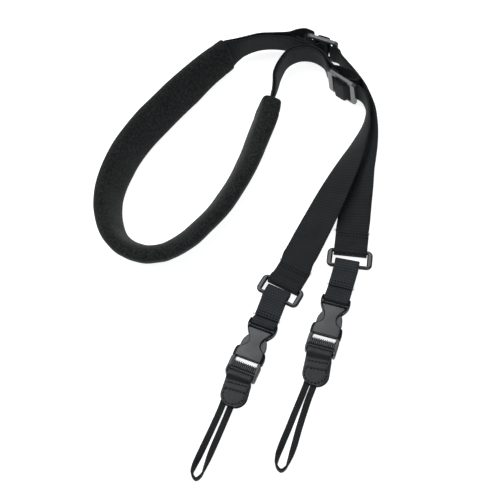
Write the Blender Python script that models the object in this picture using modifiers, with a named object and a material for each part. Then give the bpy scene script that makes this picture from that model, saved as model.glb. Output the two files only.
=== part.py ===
"""A camera neck strap lying on a table: a padded sleeve, two long webbings with their adjusters,
rings, short webbing loops, side-release buckles, leather ends and narrow tape loops.

Metres, +Z up, the table is z = 0. Places are shares of the layout's spread and reach.
"""

import math

import bmesh
import bpy
from mathutils import Matrix, Vector

# The layout on the table
SPREAD = 0.220          # side to side
REACH = 0.310           # near to far, without the tape loops
GAP = 0.0003            # between pieces that touch

# The neck pad
PAD_WIDTH = 0.032
PAD_THICK = 0.012
PAD_WALL = 0.0023
PAD_STEP = 0.0115       # between the sections that are drawn
PAD_SIDES = 16

# The long webbing
WEB_WIDTH = 0.025
WEB_THICK = 0.0013
WEB_STEP = 0.006        # between the sections of a gentle stretch
FOLD_STEP = 0.0016      # between the sections of a tight fold
WEB_IN_PAD = 0.024      # how far the webbing reaches into the pad
LAYERS_IN_PAD = 0.0019  # between its two layers there
TAIL_LENGTH = 0.017     # sewn end, past the ring's bar

# The adjuster, a frame with three bars
ADJUSTER_LENGTH = 0.026
ADJUSTER_THICK = 0.0028
ADJUSTER_RAIL = 0.003
ADJUSTER_BAR = 0.0045
ADJUSTER_MIDDLE = 0.005
WEB_SIDE_PLAY = 0.0004
HOLE_CORNER = 0.0002

# The ring
RING_LENGTH = 0.016
RING_BAR = 0.003
RING_THICK = 0.003
RING_SIDE = 0.0042
RING_CORNER = 0.0042
FOLD_PLAY = 0.0008      # slack of a fold round a bar
FOLD_ROUND = 0.0013
LIFT = 0.0002           # of the lowest layer off the table

# The short webbing loop
LINK_WIDTH = 0.0185
LINK_THICK = 0.0013
LINK_SEAM = 0.017       # from the ring's bar to the overlapping end
LINK_LAP = 0.007

# The side-release buckle
BUCKLE_WIDTH = 0.0232
BUCKLE_THICK = 0.0076
SOCKET_LENGTH = 0.0335
SOCKET_WALL = 0.0016
PRONG_LENGTH = 0.0148   # the base, outside the socket
BUCKLE_BAR = 0.003
BUCKLE_BAR_THICK = 0.0028
BAR_PLAY = 0.0010       # slack of a fold round these bars
BUCKLE_RAIL = 0.0016
BUCKLE_FIT = 0.0003     # play between the two halves
BUCKLE_OPENING = 0.0172 # width of the see-through slot between the halves
NOTCH_LENGTH = 0.0036   # of the socket's lower wall, cut back there
BUCKLE_EDGE = 0.0004
RIDGED_BAR = 0.0046
RIDGE_COUNT = 13
RIDGE_HEIGHT = 0.0004

# The leather end
TAB_WIDTH = 0.0190
TAB_THICK = 0.0013
TAB_LENGTH = {"right": 0.0265, "left": 0.0246}     # from the prong's bar to the round end

# The tape loop
TAPE_WIDTH = 0.0048
TAPE_THICK = 0.0011
TAPE_STEP = 0.0035

# Each row: across (of SPREAD), along (of REACH), outward lean in degrees
PAD_ROUTE = (
    (-0.037, 0.453, 26),
    (-0.097, 0.413, 29),
    (-0.168, 0.356, 30),
    (-0.265, 0.274, 30),
    (-0.339, 0.204, 30),
    (-0.391, 0.137, 30),
    (-0.422, 0.077, 30),
    (-0.437, 0.028, 30),
    (-0.438, -0.013, 31),
    (-0.431, -0.047, 32),
    (-0.416, -0.081, 33),
    (-0.392, -0.106, 34),
    (-0.354, -0.127, 35),
    (-0.310, -0.138, 35),
    (-0.268, -0.138, 34),
    (-0.228, -0.130, 33),
    (-0.163, -0.099, 31),
    (-0.114, -0.063, 29),
    (-0.066, -0.022, 28),
    (-0.029, 0.019, 27),
    (0.029, 0.100, 24),
    (0.077, 0.194, 20),
    (0.101, 0.247, 17),
    (0.114, 0.284, 14),
)
# Each row: share of the pad's length, width (of PAD_WIDTH), thickness (of PAD_THICK)
PAD_SECTIONS = (
    (0.000, 1.000, 0.88),
    (0.006, 1.015, 0.97),
    (0.020, 1.005, 0.91),
    (0.028, 1.000, 0.97),
    (0.060, 1.000, 1.00),
    (0.700, 1.000, 1.00),
    (0.800, 0.990, 1.12),
    (0.900, 0.985, 1.32),
    (0.950, 0.980, 1.38),
    (0.985, 0.975, 1.34),
    (1.000, 0.970, 1.12),
)

# Hardware places: across (of SPREAD), along (of REACH), heading in degrees, turned to the left
RING_PLACE = {"right": (0.386, -0.131, 7), "left": (0.149, -0.219, 29)}
BUCKLE_PLACE = {"right": (0.339, -0.238, 17.0), "left": (0.097, -0.303, 22.5)}
TAB_HEADING = {"right": 12.0, "left": 17.0}
LINK_SHIFT = {"right": -0.10, "left": -0.04}    # along the ring's bar, of LINK_WIDTH
LINK_TURN = {"right": 5.0, "left": -2.0}        # of its fold on the ring's bar, degrees
LINK_SLACK = {"right": 0.0027, "left": 0.0054}  # of its fold past that bar
# across, along, height (of WEB_WIDTH), heading of the webbing and lean towards the viewer, degrees
ADJUSTER_PLACE = {
    "right": (0.313, 0.471, 0.65, -21.4, 10.0),
    "left": (0.3785, 0.3485, 0.65, -38.0, 10.0),
}

# Webbing rows: across (of SPREAD), along (of REACH), height (of WEB_WIDTH), lean in degrees.
# At 0 it stands on edge, at 90 it lies flat with its upper edge to the right.
RING_TO_ADJUSTER = {
    "right": (
        (0.399, -0.052, 0.040, 90),
        (0.405, -0.023, 0.075, 85),
        (0.413, 0.020, 0.16, 76),
        (0.424, 0.061, 0.27, 63),
        (0.437, 0.101, 0.37, 48),
        (0.449, 0.129, 0.44, 36),
        (0.463, 0.158, 0.49, 24),
        (0.473, 0.190, 0.52, 14),
        (0.481, 0.222, 0.54, 6),
        (0.481, 0.267, 0.55, 0),
        (0.475, 0.310, 0.56, -6),
        (0.462, 0.337, 0.58, -8),
        (0.438, 0.372, 0.61, -9),
        (0.408, 0.412, 0.64, -10),
    ),
    "left": (
        (0.212, -0.128, 0.10, 88),
        (0.222, -0.113, 0.10, 86),
        (0.248, -0.071, 0.13, 80),
        (0.288, -0.014, 0.19, 72),
        (0.328, 0.043, 0.27, 62),
        (0.368, 0.099, 0.34, 53),
        (0.407, 0.154, 0.41, 42),
        (0.425, 0.182, 0.45, 35),
        (0.442, 0.211, 0.49, 27),
        (0.453, 0.238, 0.52, 17),
        (0.461, 0.264, 0.54, 7),
        (0.464, 0.288, 0.57, -1),
        (0.459, 0.308, 0.61, -7),
    ),
}
# From the pad to the adjuster: the layer on the viewer's side, leaning to its own right
NEAR_LAYER = {
    "right": (
        (0.000, 0.464, 0.62, -14),
        (0.030, 0.476, 0.62, 2),
        (0.084, 0.490, 0.62, 9),
        (0.139, 0.492, 0.62, 11),
        (0.190, 0.486, 0.63, 11),
    ),
    "left": (
        (0.134, 0.330, 0.62, 6),
        (0.143, 0.367, 0.62, -3),
        (0.160, 0.404, 0.62, 0),
        (0.191, 0.440, 0.62, 5),
        (0.233, 0.454, 0.62, 9),
        (0.275, 0.450, 0.63, 11),
        (0.313, 0.429, 0.63, 12),
    ),
}
# The other layer's distance from it to the far side (of WEB_WIDTH), by its rows above
FAR_LAYER = {
    "right": (0.085, 0.085, 0.085, 0.10, 0.19),
    "left": (0.08, 0.075, 0.075, 0.075, 0.075, 0.08, 0.10),
}

# The tape loops' routes, in metres: x, y, z, and how far the tape stands on edge in degrees
TAPE_ROUTE = {
    "right": (
        (0.0530, -0.1345, 0.0024, 0),
        (0.0507, -0.1432, 0.0024, 0),
        (0.0493, -0.1468, 0.0021, 0),
        (0.0466, -0.1535, 0.0011, 0),
        (0.0424, -0.1640, 0.0009, 0),
        (0.0376, -0.1765, 0.0009, 5),
        (0.0325, -0.1895, 0.0014, 22),
        (0.0295, -0.1985, 0.0023, 60),
        (0.0288, -0.2050, 0.0028, 86),
        (0.0318, -0.2090, 0.0029, 90),
        (0.0352, -0.2068, 0.0028, 86),
        (0.0380, -0.2005, 0.0023, 60),
        (0.0412, -0.1905, 0.0014, 22),
        (0.0450, -0.1765, 0.0009, 5),
        (0.0490, -0.1635, 0.0009, 0),
        (0.0524, -0.1530, 0.0011, 0),
        (0.0551, -0.1462, 0.0021, 0),
        (0.0563, -0.1425, 0.0024, 0),
        (0.0582, -0.1340, 0.0024, 0),
    ),
    "left": (
        (-0.0049, -0.1470, 0.0024, 0),
        (-0.0079, -0.1555, 0.0024, 0),
        (-0.0094, -0.1600, 0.0022, 0),
        (-0.0120, -0.1663, 0.0011, 0),
        (-0.0158, -0.1755, 0.0009, 0),
        (-0.0196, -0.1845, 0.0009, 5),
        (-0.0246, -0.1965, 0.0014, 22),
        (-0.0283, -0.2055, 0.0023, 60),
        (-0.0296, -0.2110, 0.0028, 86),
        (-0.0270, -0.2152, 0.0029, 90),
        (-0.0233, -0.2125, 0.0028, 86),
        (-0.0202, -0.2050, 0.0023, 60),
        (-0.0167, -0.1950, 0.0014, 22),
        (-0.0125, -0.1840, 0.0009, 5),
        (-0.0086, -0.1740, 0.0009, 0),
        (-0.0055, -0.1660, 0.0011, 0),
        (-0.0031, -0.1600, 0.0022, 0),
        (-0.0020, -0.1570, 0.0024, 0),
        (0.0012, -0.1480, 0.0024, 0),
    ),
}

# Outline of the socket: distance from its webbing end (of SOCKET_LENGTH), half width (of BUCKLE_WIDTH)
SOCKET_OUTLINE = (
    (0.000, 0.400),
    (0.030, 0.455),
    (0.180, 0.470),
    (0.280, 0.420),
    (0.400, 0.300),
    (0.470, 0.240),
    (0.560, 0.205),
    (0.640, 0.235),
    (0.700, 0.310),
    (0.735, 0.400),
    (0.770, 0.470),
    (0.850, 0.500),
    (1.000, 0.497),
)
# Outer edge of an arm in the socket's window: distance (of SOCKET_LENGTH), half width (of BUCKLE_WIDTH)
ARM_OUTER = (
    (1.050, 0.417),
    (0.860, 0.417),
    (0.760, 0.415),
    (0.700, 0.412),
    (0.600, 0.405),
    (0.500, 0.365),
    (0.430, 0.310),
    (0.400, 0.275),
)
ARM_INNER = (
    (0.410, 0.200),
    (0.500, 0.170),
    (0.600, 0.170),
    (0.680, 0.200),
    (0.760, 0.330),
    (0.860, 0.360),
    (1.050, 0.374),
)

UP = Vector((0, 0, 1))


def clear_scene():
    for old in list(bpy.data.objects):
        bpy.data.objects.remove(old, do_unlink=True)


def make_collection(name):
    made = bpy.data.collections.new(name)
    bpy.context.scene.collection.children.link(made)
    return made


def make_material(name, colour, roughness, metallic=0.0):
    made = bpy.data.materials.new(name)
    made.use_nodes = True
    shader = made.node_tree.nodes["Principled BSDF"]
    shader.inputs["Base Color"].default_value = (*colour, 1.0)
    shader.inputs["Roughness"].default_value = roughness
    shader.inputs["Metallic"].default_value = metallic
    return made


def add_object(name, mesh, material, collection):
    made = bpy.data.objects.new(name, mesh)
    made.data.materials.clear()
    made.data.materials.append(material)
    collection.objects.link(made)
    return made


def through(rows, step):
    """A smooth curve through rows of numbers that start with x, y, z, read every step metres."""
    knots = [0.0]
    for a, b in zip(rows, rows[1:]):
        knots.append(knots[-1] + max(math.dist(a[:3], b[:3]), 1e-6) ** 0.5)
    before = [2 * p - q for p, q in zip(rows[0], rows[1])]
    after = [2 * p - q for p, q in zip(rows[-1], rows[-2])]
    points = [before, *rows, after]
    knots = [2 * knots[0] - knots[1], *knots, 2 * knots[-1] - knots[-2]]

    def mix(a, b, low, high, t):
        share = (t - low) / (high - low)
        return [p + (q - p) * share for p, q in zip(a, b)]

    read = []
    for i in range(1, len(points) - 2):
        p0, p1, p2, p3 = points[i - 1 : i + 3]
        t0, t1, t2, t3 = knots[i - 1 : i + 3]
        count = max(1, math.ceil(math.dist(p1[:3], p2[:3]) / step))
        for k in range(count):
            t = t1 + (t2 - t1) * k / count
            a1 = mix(p0, p1, t0, t1, t)
            a2 = mix(p1, p2, t1, t2, t)
            a3 = mix(p2, p3, t2, t3, t)
            b1 = mix(a1, a2, t0, t2, t)
            b2 = mix(a2, a3, t1, t3, t)
            read.append(mix(b1, b2, t1, t2, t))
    read.append(list(rows[-1]))
    return read


def rounded(corners, radius, step):
    """Straight runs between 2D corners, each corner turned into an arc."""
    read = [Vector(corners[0])]
    for i in range(1, len(corners) - 1):
        at = Vector(corners[i])
        back = (Vector(corners[i - 1]) - at)
        ahead = (Vector(corners[i + 1]) - at)
        half = back.angle(ahead) / 2
        room = 0.49 * min(back.length, ahead.length)
        reach = min(radius / math.tan(half), room)
        start = at + back.normalized() * reach
        end = at + ahead.normalized() * reach
        turned = math.pi - 2 * half
        count = max(2, math.ceil(turned * reach * math.tan(half) / step))
        centre = at + (back.normalized() + ahead.normalized()).normalized() * (reach / math.cos(half))
        for k in range(count + 1):
            share = k / count
            chord = start.lerp(end, share) - centre
            read.append(centre + chord.normalized() * (reach * math.tan(half)))
    read.append(Vector(corners[-1]))
    return read


def widen(stations, width, share=lambda i, n: 1.0):
    """The two edges of a strip, from stations of (centre, direction across)."""
    count = len(stations)
    left, right = [], []
    for i, (centre, across) in enumerate(stations):
        half = across.normalized() * width / 2 * share(i, count)
        left.append(centre - half)
        right.append(centre + half)
    return left, right


def strip(name, stations, width, thickness, material, collection, share=lambda i, n: 1.0):
    """A flat band along stations of (centre, direction across), as a sheet with Solidify."""
    left, right = widen(stations, width, share)
    points = left + right
    count = len(left)
    faces = [(i, i + 1, count + i + 1, count + i) for i in range(count - 1)]
    mesh = bpy.data.meshes.new(name)
    mesh.from_pydata(points, [], faces)
    made = add_object(name, mesh, material, collection)
    wall = made.modifiers.new("thickness", "SOLIDIFY")
    wall.thickness = thickness
    wall.offset = 0.0
    return made


def flat_frame(place, height, heading):
    """The local axes of a piece that lies flat: X to its right, Y back up the strap."""
    across, along = place
    spot = Matrix.Translation((across * SPREAD, along * REACH, height))
    return spot @ Matrix.Rotation(-math.radians(heading), 4, "Z")


def plate(name, outline, holes, thickness, edge, material, collection):
    """A flat plate from 2D outlines, with its edges rounded, centred on z = 0."""
    curve = bpy.data.curves.new(name, "CURVE")
    curve.dimensions = "2D"
    curve.fill_mode = "BOTH"
    curve.extrude = thickness / 2 - edge
    curve.bevel_depth = edge
    curve.offset = -edge
    curve.bevel_resolution = 1
    for points in (outline, *(hole[::-1] for hole in holes)):
        line = curve.splines.new("POLY")
        line.points.add(len(points) - 1)
        for spot, point in zip(line.points, points):
            spot.co = (point[0], point[1], 0, 1)
        line.use_cyclic_u = True
    drawn = bpy.data.objects.new(name + "_outline", curve)
    collection.objects.link(drawn)
    graph = bpy.context.evaluated_depsgraph_get()
    mesh = bpy.data.meshes.new_from_object(drawn.evaluated_get(graph))
    bpy.data.objects.remove(drawn, do_unlink=True)
    work = bmesh.new()
    work.from_mesh(mesh)
    bmesh.ops.remove_doubles(work, verts=work.verts, dist=1e-6)
    bmesh.ops.recalc_face_normals(work, faces=work.faces)
    work.to_mesh(mesh)
    work.free()
    return add_object(name, mesh, material, collection)


def round_box(width, length, radius, centre=(0.0, 0.0), steps=3):
    """The outline of a rectangle with round corners."""
    points = []
    for turn, (sx, sy) in enumerate(((1, 1), (-1, 1), (-1, -1), (1, -1))):
        cx = centre[0] + sx * (width / 2 - radius)
        cy = centre[1] + sy * (length / 2 - radius)
        for k in range(steps + 1):
            angle = math.pi / 2 * (turn + k / steps)
            points.append((cx + radius * math.cos(angle), cy + radius * math.sin(angle)))
    return points


def box_cutter(name, size, centre, frame, cutters):
    mesh = bpy.data.meshes.new(name)
    work = bmesh.new()
    bmesh.ops.create_cube(work, size=1.0)
    bmesh.ops.scale(work, vec=size, verts=work.verts)
    bmesh.ops.translate(work, vec=centre, verts=work.verts)
    work.to_mesh(mesh)
    work.free()
    made = bpy.data.objects.new(name, mesh)
    cutters.objects.link(made)
    made.matrix_world = frame
    made.hide_render = True
    made.display_type = "WIRE"
    return made


def combine(target, other, operation):
    step = target.modifiers.new(other.name, "BOOLEAN")
    step.operation = operation
    step.object = other
    step.solver = "EXACT"


def helper(made):
    """Keeps a piece that is only joined into another out of the parts."""
    made.hide_render = True
    made.display_type = "WIRE"
    return made


def pad_stations():
    """The pad's centreline: rows of x, y, z, lean, from its upper end to its lower end. It stands
    on its lower edge, so its height follows from the lean."""
    rows = []
    for across, along, lean in PAD_ROUTE:
        edge = PAD_THICK / 2
        height = edge + (PAD_WIDTH / 2 - edge) * math.cos(math.radians(lean)) + LIFT
        rows.append((across * SPREAD, along * REACH, height, lean))
    return through(rows, PAD_STEP)


def section_at(share):
    for low, high in zip(PAD_SECTIONS, PAD_SECTIONS[1:]):
        if share <= high[0]:
            mix = (share - low[0]) / (high[0] - low[0])
            return [a + (b - a) * mix for a, b in zip(low[1:], high[1:])]
    return PAD_SECTIONS[-1][1:]


def standing(rows):
    """(centre, direction of travel, the upper edge's direction) for rows of x, y, z, lean."""
    read = []
    for i, (x, y, z, lean) in enumerate(rows):
        a = rows[max(i - 1, 0)]
        b = rows[min(i + 1, len(rows) - 1)]
        travel = Vector((b[0] - a[0], b[1] - a[1], 0)).normalized()
        outward = travel.cross(UP)
        turn = math.radians(lean)
        read.append((Vector((x, y, z)), travel, outward * math.sin(turn) + UP * math.cos(turn)))
    return read


def make_pad(material, collection):
    """The padded sleeve: flat oval sections swept along the route, open at both ends."""
    rows = pad_stations()
    lengths = [0.0]
    for a, b in zip(rows, rows[1:]):
        lengths.append(lengths[-1] + math.dist(a[:3], b[:3]))
    # The collars at the ends are finer than the step, so their sections are added
    marks = [share * lengths[-1] for share, _, _ in PAD_SECTIONS]
    merged = []
    for i, row in enumerate(rows):
        merged.append((lengths[i], row))
        if i + 1 < len(rows):
            for mark in marks:
                if lengths[i] + PAD_STEP / 10 < mark < lengths[i + 1] - PAD_STEP / 10:
                    mix = (mark - lengths[i]) / (lengths[i + 1] - lengths[i])
                    between = [p + (q - p) * mix for p, q in zip(row, rows[i + 1])]
                    merged.append((mark, between))
    points = []
    poses = standing([row for _, row in merged])
    for (length, _), (centre, travel, tall) in zip(merged, poses):
        wide, thick = section_at(length / lengths[-1])
        round_half = PAD_THICK * thick / 2
        straight = PAD_WIDTH * wide / 2 - round_half
        side = tall.cross(travel).normalized()
        for k in range(PAD_SIDES):
            angle = 2 * math.pi * (k + 0.5) / PAD_SIDES
            across = round_half * math.sin(angle)
            up = round_half * math.cos(angle) + math.copysign(straight, math.cos(angle))
            points.append(centre + side * across + tall * up)
    rings = len(merged)
    faces = []
    for i in range(rings - 1):
        for k in range(PAD_SIDES):
            j = (k + 1) % PAD_SIDES
            a, b = i * PAD_SIDES, (i + 1) * PAD_SIDES
            faces.append((a + k, b + k, b + j, a + j))
    mesh = bpy.data.meshes.new("neck_pad")
    mesh.from_pydata(points, [], faces)
    mesh.shade_smooth()
    made = add_object("neck_pad", mesh, material, collection)
    work = bmesh.new()
    work.from_mesh(mesh)
    bmesh.ops.recalc_face_normals(work, faces=work.faces)
    work.to_mesh(mesh)
    work.free()
    wall = made.modifiers.new("padding", "SOLIDIFY")
    wall.thickness = PAD_WALL
    wall.offset = -1.0
    return made


def adjuster_frame(side):
    """Local axes: X down the strap, Y up along the bars, Z towards the viewer."""
    across, along, height, heading, lean = ADJUSTER_PLACE[side]
    turn = math.radians(heading)
    run = Vector((math.cos(turn), math.sin(turn), 0))
    near = run.cross(UP)
    tilt = math.radians(lean)
    tall = UP * math.cos(tilt) + near * math.sin(tilt)
    out = run.cross(tall)
    frame = Matrix((run, tall, out)).transposed().to_4x4()
    frame.translation = (across * SPREAD, along * REACH, height * WEB_WIDTH)
    return frame


def make_adjuster(side, material, collection):
    inner = WEB_WIDTH + 2 * WEB_SIDE_PLAY
    tall = inner + 2 * ADJUSTER_RAIL
    slot = (ADJUSTER_LENGTH - 2 * ADJUSTER_BAR - ADJUSTER_MIDDLE) / 2
    shift = (ADJUSTER_MIDDLE + slot) / 2
    outline = round_box(ADJUSTER_LENGTH, tall, ADJUSTER_RAIL)
    holes = [round_box(slot, inner, HOLE_CORNER, (s * shift, 0), 1) for s in (-1, 1)]
    made = plate(
        "adjuster_" + side, outline, holes, ADJUSTER_THICK, 0.0005, material, collection
    )
    made.matrix_world = adjuster_frame(side)
    return made


def ring_height():
    return LIFT + WEB_THICK + GAP + RING_THICK / 2


def ring_frame(side):
    across, along, heading = RING_PLACE[side]
    return flat_frame((across, along), ring_height(), heading)


def make_ring(side, material, collection):
    inner = WEB_WIDTH + 2 * WEB_SIDE_PLAY
    outline = round_box(inner + 2 * RING_SIDE, RING_LENGTH, RING_CORNER)
    hole = round_box(inner, RING_LENGTH - 2 * RING_BAR, HOLE_CORNER, steps=1)
    made = plate("ring_" + side, outline, [hole], RING_THICK, 0.0008, material, collection)
    made.matrix_world = ring_frame(side)
    return made


def ring_fold(side):
    """The webbing's sewn end and its fold round the ring's upper bar, in the ring's frame."""
    bar = (RING_LENGTH - RING_BAR) / 2
    half = WEB_THICK / 2
    low = LIFT + half - ring_height()
    high = RING_THICK / 2 + GAP + half
    doubled = low + WEB_THICK + GAP
    inside = bar - RING_BAR / 2 - FOLD_PLAY - half
    past = bar + RING_BAR / 2 + FOLD_PLAY
    end = bar + TAIL_LENGTH
    settle = past + 0.0045
    over = ((settle, doubled), (past, high), (inside, high))
    if side == "right":
        corners = ((end, doubled), *over, (inside, low), (end, low))
    else:
        corners = ((end, low), (inside, low), *over[::-1], (end, doubled))
    frame = ring_frame(side)
    turn = frame.to_3x3() @ Vector((1, 0, 0))
    path = rounded(corners, FOLD_ROUND, FOLD_STEP)
    return [(frame @ Vector((0, y, z)), turn) for y, z in path]


def weave(side):
    """The two layers in the adjuster, as (along, out) in its frame: the running layer from the
    ring's side to the pad's side, and the sewn layer from the pad's side to its end."""
    half = WEB_THICK / 2
    on_bar = ADJUSTER_THICK / 2 + GAP + half
    layer = WEB_THICK + GAP
    end = ADJUSTER_LENGTH / 2
    slot_end = end - ADJUSTER_BAR
    mid = ADJUSTER_MIDDLE / 2
    round_mid = mid + GAP + half
    # Over both end bars and under the middle one
    running = [
        (end + 0.004, on_bar + 0.0004),
        (slot_end - 0.0010, on_bar),
        (slot_end - 0.0023, -on_bar - layer),
        (-slot_end + 0.0023, -on_bar - layer),
        (-slot_end + 0.0010, on_bar),
    ]
    # Round the middle bar, its end between the two layers
    wrap = [
        (round_mid, on_bar),
        (round_mid, -on_bar),
        (-mid - 0.0021, -on_bar),
        (-mid - 0.0033, on_bar + layer * 0.6),
        (-mid - 0.0037, on_bar + layer),
    ]
    if side == "right":
        running += [(-end - 0.0003, on_bar), (-end - 0.0015, 0.0006), (-end - 0.0014, -0.0024)]
        running += [(-end + 0.0006, -0.0052), (-end - 0.0004, -0.0074), (-end - 0.0032, -0.0075)]
        running += [(-end - 0.0062, -0.0056), (-end - 0.0104, -0.0026)]
        sewn = [
            (-end - 0.0075, on_bar + 2 * layer - 0.0002),
            (-end + 0.0010, on_bar + 2 * layer),
            (-mid - 0.0030, on_bar + 2 * layer),
            (-mid + 0.0003, on_bar),
            *wrap,
            (-end - 0.0006, on_bar + layer),
            (-end - 0.0040, on_bar + layer * 0.8),
            (-end - 0.0078, on_bar + layer * 0.4),
        ]
        return running, sewn
    # On the left the bars are passed from the far side, and the sewn layer bows out
    running += [(-end - 0.0002, on_bar + 0.0001), (-end - 0.0055, 0.0052)]
    sewn = [
        (-end - 0.0055, 0.0052 + layer * 2.0),
        (-end + 0.0005, on_bar + layer * 2.3),
        (-mid - 0.0040, on_bar + layer * 2.9),
        (mid - 0.0010, on_bar + layer * 4.0),
        (slot_end + 0.0002, on_bar + layer * 3.7),
        (slot_end + 0.0005, on_bar + layer * 1.6),
        (round_mid + 0.0008, on_bar + layer * 0.9),
        *wrap,
        (-end + 0.0015, on_bar + layer),
        (-end - 0.0004, on_bar + layer * 1.08),
    ]
    return [(t, -n) for t, n in running], [(t, -n) for t, n in sewn]


def in_frame(path, frame):
    """Points (along, out) in an adjuster's frame as stations across its bars."""
    across = frame.to_3x3() @ Vector((0, 1, 0))
    return [(frame @ Vector((t, 0, n)), across) for t, n in path]


def joined(*runs):
    """Several runs of stations read as one smooth curve, with its tight stretches kept."""
    rows = []
    for run in runs:
        for centre, across in run:
            row = (*centre, *across.normalized())
            if not rows or math.dist(row[:3], rows[-1][:3]) > 0.0004:
                rows.append(row)
    read = through(rows, WEB_STEP)
    return [(Vector(r[:3]), Vector(r[3:])) for r in read]


def rows_in_metres(rows):
    return [(a * SPREAD, b * REACH, h * WEB_WIDTH, lean) for a, b, h, lean in rows]


def mouth_stations(side):
    """The two layers inside the pad, from the mouth inwards: (near layer, far layer)."""
    poses = standing(pad_stations())
    if side == "left":
        poses = [(p, -t, w) for p, t, w in reversed(poses)]
    near, far, length = [], [], 0.0
    for i, (centre, travel, tall) in enumerate(poses):
        if i:
            length += (centre - poses[i - 1][0]).length
        if length > WEB_IN_PAD:
            break
        out = travel.cross(tall).normalized()
        near.append((centre - out * LAYERS_IN_PAD / 2, tall))
        far.append((centre + out * LAYERS_IN_PAD / 2, tall))
    return near, far


def loose_layers(side):
    """The near layer from the pad to the adjuster, and the far layer beside it."""
    poses = standing(rows_in_metres(NEAR_LAYER[side]))
    near = [(p, w) for p, _, w in poses]
    far = []
    for (centre, travel, tall), away in zip(poses, FAR_LAYER[side]):
        far.append((centre + travel.cross(tall) * -away * WEB_WIDTH, tall))
    return near, far


def make_webbing(side, material, collection):
    """One webbing: sewn end, ring, adjuster, into the pad, back out and sewn at the adjuster."""
    fold = ring_fold(side)
    rising = [(p, w) for p, _, w in standing(rows_in_metres(RING_TO_ADJUSTER[side]))]
    frame = adjuster_frame(side)
    running_path, sewn_path = weave(side)
    running = in_frame(rounded(running_path, FOLD_ROUND, FOLD_STEP), frame)
    sewn = in_frame(rounded(sewn_path, FOLD_ROUND, FOLD_STEP), frame)
    near, far = loose_layers(side)
    near_in, far_in = mouth_stations(side)
    near, far = near_in[::-1] + near, far_in[::-1] + far
    inwards, outwards = (far, near) if side == "right" else (near, far)
    middle = (inwards[0][0] + outwards[0][0]) / 2
    way = (inwards[0][0] - inwards[1][0]).normalized()
    turned = [(middle + way * LAYERS_IN_PAD / 2, inwards[0][1])]
    stations = joined(fold, rising, running, inwards[::-1], turned, outwards, sewn)
    return strip(
        "webbing_" + side, stations, WEB_WIDTH, WEB_THICK, material, collection
    )


def socket_outline():
    right = [(h * BUCKLE_WIDTH, -d * SOCKET_LENGTH) for d, h in SOCKET_OUTLINE]
    return right + [(-x, y) for x, y in reversed(right)]


def buckle_frame(side):
    across, along, heading = BUCKLE_PLACE[side]
    return flat_frame((across, along), BUCKLE_THICK / 2, heading)


def make_socket(side, material, collection, cutters):
    """The female half: an hourglass housing with a webbing bar, side windows and a hollow."""
    frame = buckle_frame(side)
    slot = 0.0036
    slot_width = LINK_WIDTH + 2 * WEB_SIDE_PLAY
    hole = round_box(slot_width, slot, HOLE_CORNER, (0, -BUCKLE_BAR - slot / 2), 1)
    made = plate(
        "buckle_socket_" + side,
        socket_outline(),
        [hole],
        BUCKLE_THICK,
        BUCKLE_EDGE,
        material,
        collection,
    )
    made.matrix_world = frame
    # The webbing's bar is thinner than the housing
    step = (BUCKLE_THICK - BUCKLE_BAR_THICK) / 2
    for sign, word in ((1, "above"), (-1, "below")):
        cut = box_cutter(
            f"bar_{word}_{side}",
            (slot_width, BUCKLE_BAR + 0.002, step + 0.0002),
            (0, -(BUCKLE_BAR - 0.002) / 2 - 0.0001, sign * (BUCKLE_THICK - step + 0.0002) / 2),
            frame,
            cutters,
        )
        combine(made, cut, "DIFFERENCE")
    # The hollow for the arms, open at the lower end and at the windows
    start = 0.36 * SOCKET_LENGTH
    depth = SOCKET_LENGTH - start + 0.002
    hollow = box_cutter(
        "hollow_" + side,
        (BUCKLE_WIDTH - 2 * BUCKLE_RAIL, depth, BUCKLE_THICK - 2 * SOCKET_WALL),
        (0, -start - depth / 2, 0),
        frame,
        cutters,
    )
    combine(made, hollow, "DIFFERENCE")
    notch = box_cutter(
        "notch_" + side,
        (BUCKLE_OPENING, NOTCH_LENGTH + 0.002, SOCKET_WALL + 0.001),
        (0, -SOCKET_LENGTH + NOTCH_LENGTH / 2 - 0.001, (SOCKET_WALL - 0.001 - BUCKLE_THICK) / 2),
        frame,
        cutters,
    )
    combine(made, notch, "DIFFERENCE")
    return made


def arm_outline(sign):
    outer = [(sign * h * BUCKLE_WIDTH, -d * SOCKET_LENGTH) for d, h in ARM_OUTER]
    inner = [(sign * h * BUCKLE_WIDTH, -d * SOCKET_LENGTH) for d, h in ARM_INNER]
    return outer + inner


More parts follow.
